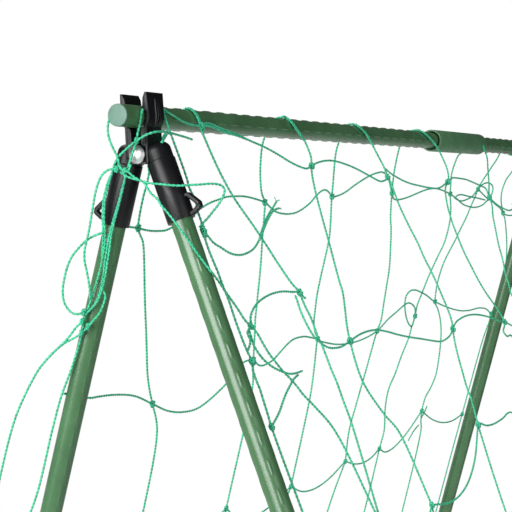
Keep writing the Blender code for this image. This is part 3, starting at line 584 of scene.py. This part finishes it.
# Slack round the near clamp and the back leg, all on the camera's side of them.
EDGE_CORDS = [
    [("sight", 147, 106.5, -6), ("sight", 144.5, 108, -2), (142.2, 111, 1), (141.3, 114.4, 3), (140.2, 123, 10),
     (138, 132, 16), (136.7, 140.5, 16.5), (134.8, 146, 16.5), (132.5, 153.5, 16.5), (129.4, 162.7, 16.5),
     (127.5, 168.8, 16.5), (125.6, 172, 16.5), (124.8, 179.5, 16.5), (122.6, 187, 16.5), (120.6, 195, 16.5),
     (119.5, 199.4, 16), (114, 218, 14), (109.2, 236, 12), (105.2, 259, 10.5), (103.6, 273, 10.5),
     (101.3, 286.6, 10.5), (98.3, 297, 10.5), (93.7, 306, 10.5), (87, 313, 12), (83, 318, 14), (82, 322, 14),
     (76.8, 326.4, 15), (70, 335.6, 16), (63.8, 342.5, 17), (51, 355, 18), (39, 369, 18), (24, 397, 19),
     (13, 425, 19), Vector((-0.139, -0.487, 1.205)), Vector((-0.163, -0.484, 1.120)),
     Vector((-0.186, -0.478, 1.050)), Vector((-0.208, -0.466, 1.000)), "b0.3"],
    [(192.2, 139.7, -42), (186, 137.4, -35), (177.7, 135, -24), (170, 132.8, -13), (162.3, 131.7, 3),
     (153.2, 132.4, 16), (145.5, 135, 17), (138.6, 139.3, 17.5), (131.7, 144.3, 17.5), (124.8, 150.4, 17.5),
     (118.7, 156.5, 17.5), (115, 162.7, 17.5), (113, 168.8, 17.5), (111.8, 173.4, 17.5), (109.5, 181, 17.5),
     (107.2, 189.4, 17.5), (105, 199.4, 17), (104, 218, 15), (105, 234, 13), (104.6, 246, 10.5), (102, 261, 10.5),
     (98.3, 276, 10.5), (93, 293, 10.5), (89.8, 303.5, 10.5), (86, 314, 10.5), (83.7, 324, 10.5), (81.4, 335, 10.5),
     (79, 345, 10.5), (76.5, 353, 10.5), (72, 367, 10.5), (66.5, 382, 10.5), (61, 397, 11), (52, 431, 12),
     Vector((-0.0995, -0.480, 1.228)), Vector((-0.1205, -0.475, 1.190)), Vector((-0.1285, -0.466, 1.172)), "b0.2"],
    [(124.8, 179.5, 16.5), (122.8, 188.5, 16.5), (119.8, 201, 16), (115.6, 216.5, 14), (111.6, 233, 12),
     (109.3, 250, 10.5), (107.4, 262, 10.5), (105.4, 275, 10.5), (101.8, 290, 10.5), (97, 302, 10.5), (87, 313, 12)],
    [(111.8, 173.4, 17.5), (108.2, 181, 17.5), (105.8, 189.4, 17.5), (103.6, 199.4, 17), (102.6, 218, 15),
     (103.2, 234, 13), (102.6, 246, 10.5), (102, 261, 10.5)],
    [Vector((-0.0105, -0.4915, 1.4995)), (108.4, 122, 21.5), (107.6, 129.7, 20.5), (109.5, 139.7, 19.5),
     (113.4, 149, 18.5), (117.2, 156.5, 19.5), (118.7, 162.7, 19.5), (120.3, 168, 19.5), (124, 171, 19.5),
     (127, 171, 19)],
    [(117, 169.5, 19.5), (113.4, 169, 19), (108, 170, 19.5), (102, 175, 20), (98, 183.3, 20.5), (95.4, 192.5, 21),
     (93, 206, 21), (89, 230, 21), (86.8, 240, 21), (84.5, 251, 20), (84.5, 260.6, 19), (86.4, 270, 18),
     (88.7, 282, 16), (89.8, 291, 14.5), (89.8, 299, 12.5)],
    [(104, 231, 14.5), (101.3, 233, 15), (93.7, 236, 17), (86, 240.7, 18.5), (79, 247.6, 20), (73, 255, 21),
     (68.4, 263.7, 21), (65.4, 273.6, 21), (63, 286, 21), (62.7, 293.5, 21), (64.2, 302.7, 20.5),
     (68.4, 309.6, 19.5), (73, 313.4, 18), (77.6, 314.2, 16.5), (83, 312, 14)],
    [(103.6, 291, 13), (105.5, 296, 13), (103.6, 303.5, 13), (99.8, 312.7, 13), (93.7, 320, 12.5),
     (88.3, 326.4, 12.5), (82, 332.5, 13), (79, 335, 13.5), (71.5, 339.4, 15), (64.6, 343, 16.5), (60, 346.5, 17.5),
     (52, 353.5, 19.5), (40, 367.5, 19.5)],
    [(120.3, 171.8, 19.5), (125.6, 175.7, 19.5), (133.3, 178.7, 19.5), (138, 180.2, 19)],
    [(118, 164, 19.5), (121.5, 168.5, 20.5), (123, 171.5, 20.5), (128.5, 170.6, 20), (130.6, 164.5, 19)],
    [(170.5, 133, -13.5), (167.7, 133.6, -12), (165.4, 136.6, -11), (163, 140.5, -10), (161.6, 143, -10)],
]
# Cords that cross from the back clamp to the front panel.
LOOSE_CORDS = [
    [(121, 169, 20), (127, 171, 20), (131.7, 175, 20), (138, 179.5, 20), (144, 181.8, 19.5), (151.6, 183.3, 19),
     (160, 184, 19), (171.5, 185.2, 18), (180, 185.6, 16), (189, 185, 12), (199.7, 184.6, 6), (209.7, 183.8, -1),
     (217.3, 184.2, -7), (222, 186, -11), (224.6, 189.5, -13), (224.2, 193.4, -14), (222, 198.7, -15),
     (218, 205, -15), (212.8, 211.7, -14.5), (206.6, 219.4, -14), (202.6, 223.7, -13.5), "f0.0"],
    [(142, 181, 19), (144.7, 183.3, 19.5), (147.8, 188.7, 20.5), (151.6, 194, 21), (157.8, 199.4, 21),
     (160.7, 204.8, 21), (166.8, 211.7, 20), (173, 219.4, 19), (180, 229), (189, 241), (195.3, 250.5), (203, 261),
     (210.6, 271), (218.3, 281), (223, 288), (230.5, 298.7), (237.7, 309), (245.3, 320.6), "fb", (256.8, 332.8),
     (263, 343.5), (269, 353.5), (276, 362.7), (283.6, 372), (291, 379.5), (297.3, 387), (303.5, 395), (315, 407),
     (335, 431), "f1.2"],
]
TAIL_CORDS = [
    ["f0.0", (208.3, 236.7), (213.7, 243), (220.6, 247.4), (229, 252.8), (235, 254.7), (241, 255), (247.3, 253),
     (252.7, 249.7), (256.5, 245), (259.6, 239), (261, 233.7), (263.4, 226), (266.5, 218.4), (270.3, 211.5),
     (273.4, 207), (276.5, 201.5)],
    [(259.6, 240), (262.2, 233.7), (265, 226.5), (268.2, 219.2), (272, 212.6), (275, 209.8), (278.7, 208.3)],
]
# Knots of the slack, as stops of three numbers.
EDGE_KNOTS = ((136.8, 140.6, 16.5), (117, 169.3, 19), (124.5, 171.3, 19), (83.5, 312.5, 13),
              (82, 322, 14), (88, 326.5, 12), (81.5, 333, 13))
# Columns that the photo crops: the two farthest on the front come over the rail, from one place along it to another.
FAR_COLUMNS = ((0.842, 0.848, "f6.0"), (0.930, 0.945, "f7.0"))
NEAR_PARTS = ("clamp_near_front", "clamp_near_back", "rail_tube_near", "rail_cap_near", "hinge_bolt_near",
              "leg_upper_near_front", "leg_upper_near_back")


TINY = 1e-6
SPAN_STEPS = 8


def smooth_path(points, step):
    """Centripetal spline through the points, cut into even steps."""
    p = np.array([tuple(q) for q in points], float)
    p = p[np.concatenate([[True], np.linalg.norm(np.diff(p, axis=0), axis=1) > TINY])]
    if len(p) == 2:
        p = np.array([p[0], (p[0] + p[1]) / 2, p[1]])
    p = np.concatenate([[2 * p[0] - p[1]], p, [2 * p[-1] - p[-2]]])
    fine = []
    for a, b, c, d in zip(p, p[1:], p[2:], p[3:]):
        gaps = [max(np.linalg.norm(far - near), TINY) ** 0.5 for near, far in ((a, b), (b, c), (c, d))]
        t1, t2, t3 = np.cumsum(gaps)
        t = np.linspace(t1, t2, SPAN_STEPS, endpoint=False)[:, None]

        def between(first, last, low, high):
            return (high - t) / (high - low) * first + (t - low) / (high - low) * last

        ab, bc, cd = between(a, b, 0, t1), between(b, c, t1, t2), between(c, d, t2, t3)
        fine.append(between(between(ab, bc, 0, t2), between(bc, cd, t1, t3), t1, t2))
    fine = np.concatenate(fine + [p[-2:-1]])
    lengths = np.concatenate([[0], np.cumsum(np.linalg.norm(np.diff(fine, axis=0), axis=1))])
    count = max(int(round(lengths[-1] / step)), 3)
    even = np.linspace(0, lengths[-1], count + 1)
    return np.stack([np.interp(even, lengths, fine[:, k]) for k in range(fine.shape[1])], -1)


def laid_tube(path, thick):
    """Vertices and faces of twine along a path of even steps: points round its two strands, turning as it goes."""
    tangent = np.gradient(path, axis=0)
    tangent /= np.linalg.norm(tangent, axis=1, keepdims=True)
    first = np.cross(tangent[0], (0.3, 0.5, 0.8))
    side = np.empty_like(path)
    for k in range(len(path)):
        first = first - tangent[k] * first.dot(tangent[k])
        first /= np.linalg.norm(first)
        side[k] = first
    other = np.cross(tangent, side)
    angle = np.arange(TWINE_SIDES) * 2 * math.pi / TWINE_SIDES
    strand = np.sqrt(TWINE_STRAND_R ** 2 - (TWINE_STRAND_OFF * np.sin(angle)) ** 2)
    reach = (np.abs(np.cos(angle)) * TWINE_STRAND_OFF + strand) * thick
    turn = np.arange(len(path))[:, None] * 2 * math.pi / TWINE_STEPS + angle
    ring = (np.cos(turn) * reach)[..., None] * side[:, None] + (np.sin(turn) * reach)[..., None] * other[:, None]
    return (path[:, None] + ring).reshape(-1, 3), tube_faces(0, len(path), TWINE_SIDES)


def twine(name, tubes, replaced, body=None, bend=None):
    """One piece from many tubes; it rides a body, or stays in place unattached when bend is given. The two points of
    bend are not used.
    """
    verts, faces, start = [], [], 0
    for v, f in tubes:
        verts.append(v)
        faces += [[q + start for q in face] for face in f]
        start += len(v)
    made = mesh_piece(name, np.concatenate(verts).tolist(), faces, "net_twine")
    if bend:
        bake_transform(made)
    else:
        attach(made, body)
    if replaced:
        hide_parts(replaced)


def ripple(s, v):
    """How far the slack net stands off its plane."""
    calm = ramp(s, 0.08, 0.16) * (1 - ramp(s, 0.84, 0.92)) * ramp(v, 0.03, 0.12)
    return RIPPLE * calm * math.sin(21 * s + 1) * math.sin(27 * v + 0.6)


def on_panel(side, s, v, lift=0.0):
    """Point on a panel: s along the rail from its near end, v down from the pivot line."""
    down, out = slope(side)
    return PIVOT + Vector((0, s - RAIL_HALF, 0)) + down * v + out * (PANEL_OFFSET + NET_LIFT + ripple(s, v) + lift)


def panel_depth(side, x, y):
    """Depth at which a pixel's ray meets a panel, or the part of the net that bends over the rail."""
    ray = ray_of(x, y)
    down, out = slope(side)
    stand_off = NET_LIFT
    for _ in range(3):
        depth = ((PIVOT - EYE).dot(out) + PANEL_OFFSET + stand_off) / ray.dot(out)
        away = EYE + ray * depth - PIVOT
        stand_off = NET_LIFT + ripple(away.y + RAIL_HALF, away.dot(down))
    if away.dot(down) > TANGENT_V:
        return depth
    rail = Vector((0, 0, RAIL_AXIS_Z)) - EYE
    a = ray.x ** 2 + ray.z ** 2
    b = ray.x * rail.x + ray.z * rail.z
    c = rail.x ** 2 + rail.z ** 2 - RAIL_WRAP_R ** 2
    return (b - side * math.sqrt(max(b * b - a * c, 0))) / a


def knot_point(name):
    side = 1 if name[0] == "f" else -1
    if name in PHOTO_KNOTS:
        x, y = PHOTO_KNOTS[name]
        return EYE + ray_of(x, y) * panel_depth(side, x, y)
    column, row = (int(q) for q in name[1:].split("."))
    rng = np.random.default_rng(40 + 10 * row + column + 200 * (side > 0))
    even = min(max((row - 2) / 4, 0), 1)
    s = SLACK_COLUMNS[side][column] * (1 - even) + EVEN_COLUMNS[column] * even
    v = TOP_ROW_V[side] + MESH * row
    inner = 0 < column < len(EVEN_COLUMNS) - 1
    s += rng.uniform(*KNOT_SHIFT) * inner
    v += rng.uniform(*KNOT_DROP) * (row < NET_ROWS - 1)
    return on_panel(side, s, v)


def rail_arc(s_back, first):
    """Over the rail, from its back down to the first point on the front."""
    stop = math.atan2(first.z - RAIL_AXIS_Z, -first.x) - ARC_STOPS_SHORT
    s_front = first.y + RAIL_HALF
    arc = []
    for k in range(ARC_STEPS + 1):
        turn = HALF_ANGLE + (stop - HALF_ANGLE) * k / ARC_STEPS
        y = s_back + (s_front - s_back) * k / ARC_STEPS - RAIL_HALF
        arc.append(Vector((-math.cos(turn) * RAIL_WRAP_R, y, RAIL_AXIS_Z + math.sin(turn) * RAIL_WRAP_R)))
    return arc


def stop_point(side, stop, lift):
    if isinstance(stop, Vector):
        return stop
    if isinstance(stop, str):
        return knot_point(stop)
    if stop[0] == "panel":
        return on_panel(side, *stop[1:])
    stop = stop[1:] if stop[0] == "sight" else stop
    ray = ray_of(*stop[:2])
    depth = (-STATION - stop[2] * MM - EYE.y) / ray.y if len(stop) == 3 else panel_depth(side, *stop)
    return EYE + ray * (depth - lift)


def cord_points(side, stops, lift=0.0, parts=()):
    """Points of a cord; where its visible stretch would pass through one of the parts, it lies on it instead."""
    head = stops[0] if isinstance(stops[0], tuple) and stops[0][0] in ("over", "behind") else None
    stops = stops[1:] if head else stops
    points = [stop_point(side, stop, lift) for stop in stops]
    if parts:
        seen = [k for k, stop in enumerate(stops) if not isinstance(stop, Vector) and stop[0] != "sight"]
        low, high = seen[0], seen[-1] + 1
        points = points[:low] + laid_over(points[low:high], parts) + points[high:]
    if head and head[0] == "over":
        points = rail_arc(head[1], points[0]) + points
    if head and head[0] == "behind":
        s = (2 * head[1] + points[0].y + RAIL_HALF) / 3
        points = [on_panel(-1, head[1], TANGENT_V), on_panel(-1, s, BEHIND_V)] + points
    return points


def laid_over(points, parts):
    """Points of a cord brought towards the camera wherever a part would hide them."""
    flat = []
    for point in points:
        x, y, depth = pixel_of(point)
        flat.append((x, y, NEARNESS / depth))
    path = smooth_path(flat, PATH_STEP_PX)
    depths = []
    for x, y, near in path:
        ray = ray_of(x, y)
        depth = NEARNESS / near
        for part in parts:
            hit, normal, _, _ = part.ray_cast(EYE, ray)
            if hit is not None:
                facing = max(abs(normal.dot(ray.normalized())), LEAST_FACING)
                depth = min(depth, (hit - EYE).dot(SIGHT[2]) - CORD_CLEAR / facing)
        depths.append(depth)
    for of_neighbours in (np.min, np.mean):
        wide = np.pad(depths, SMOOTH_REACH, mode="edge")
        depths = of_neighbours([wide[k:k + len(depths)] for k in range(2 * SMOOTH_REACH + 1)], axis=0)
    return [EYE + ray_of(x, y) * depth for (x, y, _), depth in zip(path, depths)]


def doubled(points):
    """Second cord beside the first where it goes over the rail; it runs into the first one below the rail."""
    route = smooth_path(points, DOUBLE_STEP)
    over = route[:, 2] > RAIL_AXIS_Z - DOUBLE_REACH
    count = int(np.argmin(over)) or len(route)
    place = np.arange(count)
    shift = ramp(place, -1, PARTING) * (1 - ramp(place, count - PARTING, count)) * DOUBLE_GAP * MM
    beside = route[:count].copy()
    beside[:, 1] -= shift
    return [Vector(point) for point in beside]


def slack_between(side, first, last, upright, rng):
    """Cord between two knots that the photo doesn't show."""
    down, out = slope(side)
    a, b = knot_point(first), knot_point(last)
    sag = 0.0 if upright else rng.uniform(*SAG)
    sway = rng.uniform(*SWAY) if upright else 0.0
    bulge = rng.uniform(*BULGE)
    points = [a]
    for t in (0.25, 0.5, 0.75):
        full = 4 * t * (1 - t)
        points.append(a.lerp(b, t) + (down * sag + Vector((0, sway, 0)) + out * bulge) * full)
    return points + [b]


# A wound knot's turns, its lengths and radii in mm, and its twine's share of the full thickness.
COIL_STEPS, COIL_TURNS, COIL_LENGTH, COIL_R = 32, 2.5, 4.4, 1.45
LOOP_STEPS, LOOP_TURNS, LOOP_LENGTH, LOOP_R = 16, 1.25, 2.0, (2.5, 1.75)
KNOT_STEP, KNOT_TWINE = 0.75, 0.85
FRAY_TWINE = 0.42


def wound_knot(centre, along, across, size, stretch):
    """Tight knot: turns of the twine round one cord, and one loop round the other."""
    along, across = along.normalized(), (across - along * across.dot(along.normalized())).normalized()
    third = along.cross(across)
    coil = []
    for k in range(COIL_STEPS + 1):
        turn = k / COIL_STEPS * COIL_TURNS * stretch * 2 * math.pi
        shift = (k / COIL_STEPS - 0.5) * COIL_LENGTH * stretch
        ring = along * shift + across * COIL_R * math.cos(turn) + third * COIL_R * math.sin(turn)
        coil.append(centre + ring * size * MM)
    loop = []
    for k in range(LOOP_STEPS + 1):
        turn = k / LOOP_STEPS * LOOP_TURNS * 2 * math.pi
        shift = (k / LOOP_STEPS - 0.5) * LOOP_LENGTH
        ring = along * LOOP_R[0] * math.cos(turn) + third * LOOP_R[1] * math.sin(turn)
        loop.append(centre + (across * shift + ring) * size * MM)
    return [laid_tube(smooth_path(route, KNOT_STEP * size * MM), KNOT_TWINE * size) for route in (coil, loop)]


def frayed(end, direction, seed):
    """Three thin strands that part at a cut end."""
    rng = np.random.default_rng(seed)
    tubes = []
    for _ in range(3):
        lean = Vector(rng.uniform(-0.55, 0.55, 3))
        tip = end + (direction + lean).normalized() * rng.uniform(2.5, 5.5) * MM
        middle = end.lerp(tip, 0.5) + Vector(rng.uniform(-0.4, 0.4, 3)) * MM
        tubes.append(laid_tube(smooth_path([end, middle, tip], 0.6 * MM), FRAY_TWINE))
    return tubes


def tube_of(points):
    return laid_tube(smooth_path(points, TWINE_LAY / TWINE_STEPS), 1.0)


def build_net():
    parts = [part_tree(name) for name in NEAR_PARTS]
    front_parts = [parts[NEAR_PARTS.index(name)] for name in ("clamp_near_front", "leg_upper_near_front")]
    tubes = {(side, level): [] for side in (1, -1) for level in range(3)}
    rng = np.random.default_rng(11)
    for side, letter, cords in ((1, "f", FRONT_CORDS), (-1, "b", BACK_CORDS)):
        down = slope(side)[0]
        drawn = set()
        for number, stops in enumerate(cords):
            near = front_parts if side > 0 and number == 0 else ()
            points = cord_points(side, stops, 0.0, near)
            tubes[side, 0].append(tube_of(points))
            if stops[0][0] == "over" and number >= FIRST_DOUBLED:
                tubes[side, 0].append(tube_of(doubled(points)))
            names = [stop for stop in stops if isinstance(stop, str)]
            drawn |= set(zip(names, names[1:]))
        for column in range(len(EVEN_COLUMNS)):
            for row in range(NET_ROWS):
                here = f"{letter}{column}.{row}"
                level = row // 3
                if (side, column) == (-1, 0) and row < 2:
                    continue  # the slack by the back leg takes its place
                size = PHOTO_KNOT_SIZE if here in PHOTO_KNOTS else KNOT_SIZE
                stretch = LONG_STRETCH if here == LONG_KNOT else 1.0
                tubes[side, level] += wound_knot(knot_point(here), down, ALONG_RAIL, size, stretch)
                below, beside = f"{letter}{column}.{row + 1}", f"{letter}{column + 1}.{row}"
                if row + 1 < NET_ROWS and (here, below) not in drawn:
                    if (side, column) != (1, 0) or row > 1:
                        tubes[side, level].append(tube_of(slack_between(side, here, below, True, rng)))
                if column + 1 < len(EVEN_COLUMNS) and (here, beside) not in drawn:
                    if row > 1 or (side, column) in ((1, 4), (1, 5), (1, 6)):
                        tubes[side, level].append(tube_of(slack_between(side, here, beside, False, rng)))
    down = slope(1)[0]
    for s_back, s_top, name in FAR_COLUMNS:
        first = on_panel(1, s_top, FAR_COLUMNS_V)
        tubes[1, 0].append(tube_of(rail_arc(s_back, first) + [first, knot_point(name)]))
    for name in ("fa", "fb"):
        tubes[1, 0] += wound_knot(knot_point(name), down, ALONG_RAIL, KNOT_SIZE, 1.0)
    for number, stops in enumerate(TAIL_CORDS):
        points = cord_points(1, stops, TAIL_LIFT * (number + 0.3))
        tubes[1, 0].append(tube_of(points))
        tubes[1, 0] += frayed(points[-1], (points[-1] - points[-2]).normalized(), 5 + number)
    bend = (PIVOT + down * -0.022, PIVOT + down * 0.012)
    twine("net_twine_front_top", tubes[1, 0], "net_front", bend=bend)
    for level, part in ((1, "middle"), (2, "bottom")):
        twine("net_twine_front_" + part, tubes[1, level], None, "front_leg_near")
    twine("net_twine_back_top", tubes[-1, 0], "net_back", "root")
    for level, part in ((1, "middle"), (2, "bottom")):
        twine("net_twine_back_" + part, tubes[-1, level], None, "root")
    edge = [tube_of(cord_points(-1, stops, 0.0, parts)) for stops in EDGE_CORDS]
    for x, y, past in EDGE_KNOTS:
        ends = [stop_point(-1, (x, y + step, past), 0.0) for step in (-1, 1)]
        centre = laid_over(ends, parts)[1]
        centre += (EYE - centre).normalized() * EDGE_KNOT_LIFT * MM
        edge += wound_knot(centre, slope(-1)[0], Vector((0.9, 0.2, 0.4)), EDGE_KNOT_SIZE, 1.0)
    twine("net_twine_edge", edge, "net_top", "root")
    loose = [tube_of(cord_points(1, stops, 0.0, parts)) for stops in LOOSE_CORDS]
    start, end = Vector((0.0, -0.485, 1.455)), Vector((0.036, -0.485, 1.425))
    twine("net_twine_loose", loose, None, bend=(start, end))


SMOOTH_BELOW = math.radians(32)
BEVEL_ABOVE = math.radians(35)
# Width of the moulded edges in mm, by the start of the node's name.
EDGE_WIDTHS = {"clamp": 0.45, "rail_sleeve": 0.25, "leg_sleeve": 0.25, "rail_cap": 0.2, "hinge": 0.15, "foot": 0.3}


def smooth_shading():
    """Modifier that shades a CAD node's round faces smooth and keeps its edges sharp."""
    group = bpy.data.node_groups.new("smooth_shading", "GeometryNodeTree")
    for in_out in ("INPUT", "OUTPUT"):
        group.interface.new_socket("Geometry", in_out=in_out, socket_type="NodeSocketGeometry")
    entry = node(group, "NodeGroupInput")
    plain = node(group, "GeometryNodeRemoveAttribute", Name="custom_normal")
    faces = node(group, "GeometryNodeSetShadeSmooth")
    edges = node(group, "GeometryNodeSetShadeSmooth", domain="EDGE")
    angle = node(group, "GeometryNodeInputMeshEdgeAngle")
    small = node(group, "ShaderNodeMath", operation="LESS_THAN")
    small.inputs[1].default_value = SMOOTH_BELOW
    leave = node(group, "NodeGroupOutput")
    for source, target in ((entry, plain), (plain, faces), (faces, edges), (edges, leave)):
        group.links.new(source.outputs[0], target.inputs[0])
    group.links.new(angle.outputs["Unsigned Angle"], small.inputs[0])
    group.links.new(small.outputs[0], edges.inputs["Shade Smooth"])
    return group


def dress_cad():
    """Materials for the CAD nodes that stay, with moulded edges on the hard ones."""
    smooth_group = smooth_shading()
    for row in frame["record"]["subparts"]:
        target = frame["nodes"][row["node"]]
        target.data.materials.clear()
        target.data.materials.append(LOOKS[row["material_slot"]])
        weld = target.modifiers.new("weld", "WELD")
        weld.merge_threshold = 0.01 * MM
        for start, width in EDGE_WIDTHS.items():
            if row["node"].startswith(start):
                bevel = target.modifiers.new("edge", "BEVEL")
                bevel.width = width * MM
                bevel.segments = 2
                bevel.limit_method = "ANGLE"
                bevel.angle_limit = BEVEL_ABOVE
        rounded = target.modifiers.new("rounded", "NODES")
        rounded.node_group = smooth_group


FLOOR_R = 3.2
FLOOR_FADE = (1.3, 3.0)
FLOOR_DROP = 0.5 * MM


def floor():
    """Pale disc that fades out before its rim."""
    mesh = bpy.data.meshes.new("floor")
    bm = bmesh.new()
    bmesh.ops.create_circle(bm, cap_ends=True, segments=96, radius=FLOOR_R)
    bm.to_mesh(mesh)
    bm.free()
    skin, tree, shader = material("floor_white", (0.66, 0.66, 0.66), 0.7)
    coords = node(tree, "ShaderNodeTexCoord")
    length = node(tree, "ShaderNodeVectorMath", operation="LENGTH")
    tree.links.new(coords.outputs["Object"], length.inputs[0])
    clear = node(tree, "ShaderNodeBsdfTransparent")
    faded = mixed(tree, spread(tree, length.outputs["Value"], *FLOOR_FADE, 0, 1), shader.outputs[0], clear.outputs[0])
    tree.links.new(faded, tree.nodes["Material Output"].inputs["Surface"])
    mesh.materials.append(skin)
    made = placed("floor", mesh)
    made.location.z = -FLOOR_DROP


def lamp(name, place, target, size, power):
    light = bpy.data.lights.new(name, "AREA")
    light.shape = "RECTANGLE"
    light.size, light.size_y = size
    light.energy = power
    made = placed(name, light)
    made.location = place
    made.rotation_euler = (Vector(target) - Vector(place)).to_track_quat("-Z", "Y").to_euler()


LIGHT_FROM = (-0.5, -0.5, 0.7)
LIGHT_RANGE = (-1, 1, 0.28, 0.72)
SHINE_FROM = (-0.55, 0.35, -0.75)
SHINE_RANGE = (0.22, 0.92, 0.025, 0.92)


def white_sky(tree, toward, span):
    """White background whose strength goes over a span, from low to high, with how far a direction points toward."""
    coords = node(tree, "ShaderNodeTexCoord")
    lean = node(tree, "ShaderNodeVectorMath", operation="DOT_PRODUCT")
    lean.inputs[1].default_value = Vector(toward).normalized()
    sky = node(tree, "ShaderNodeBackground", Color=(1, 1, 1, 1))
    tree.links.new(coords.outputs["Generated"], lean.inputs[0])
    tree.links.new(spread(tree, lean.outputs["Value"], *span), sky.inputs["Strength"])
    return sky.outputs[0]


def studio():
    """A world that is plain white to the camera, lights softly from above and has a dark side in its gloss."""
    world = bpy.data.worlds.new("studio")
    scene.world = world
    world.use_nodes = True
    tree = world.node_tree
    tree.nodes.clear()
    path = node(tree, "ShaderNodeLightPath").outputs
    light, shine = white_sky(tree, LIGHT_FROM, LIGHT_RANGE), white_sky(tree, SHINE_FROM, SHINE_RANGE)
    seen = node(tree, "ShaderNodeBackground", Color=(1, 1, 1, 1), Strength=1.0)
    direct = node(tree, "ShaderNodeMath", operation="MAXIMUM")
    tree.links.new(path["Is Camera Ray"], direct.inputs[0])
    tree.links.new(path["Is Transmission Ray"], direct.inputs[1])
    glossy = mixed(tree, path["Is Glossy Ray"], light, shine)
    final = mixed(tree, direct.outputs[0], glossy, seen.outputs[0])
    tree.links.new(final, node(tree, "ShaderNodeOutputWorld").inputs["Surface"])
    lamp("key", (-0.18, -2.8, 1.70), (0.05, -0.45, 1.22), (2.1, 1.4), 78)
    lamp("fill", (2.4, -1.1, 1.4), (0, 0, 1.2), (1.6, 1.6), 13)
    lamp("rear", (-0.9, 0.6, 3.2), (0, 0, 1.0), (1.4, 1.4), 10)


photo_camera()
studio()
floor()
dress_cad()
clamp_seats()
clamp_ribs()
build_poles()
build_net()

scene.view_settings.view_transform = "Standard"
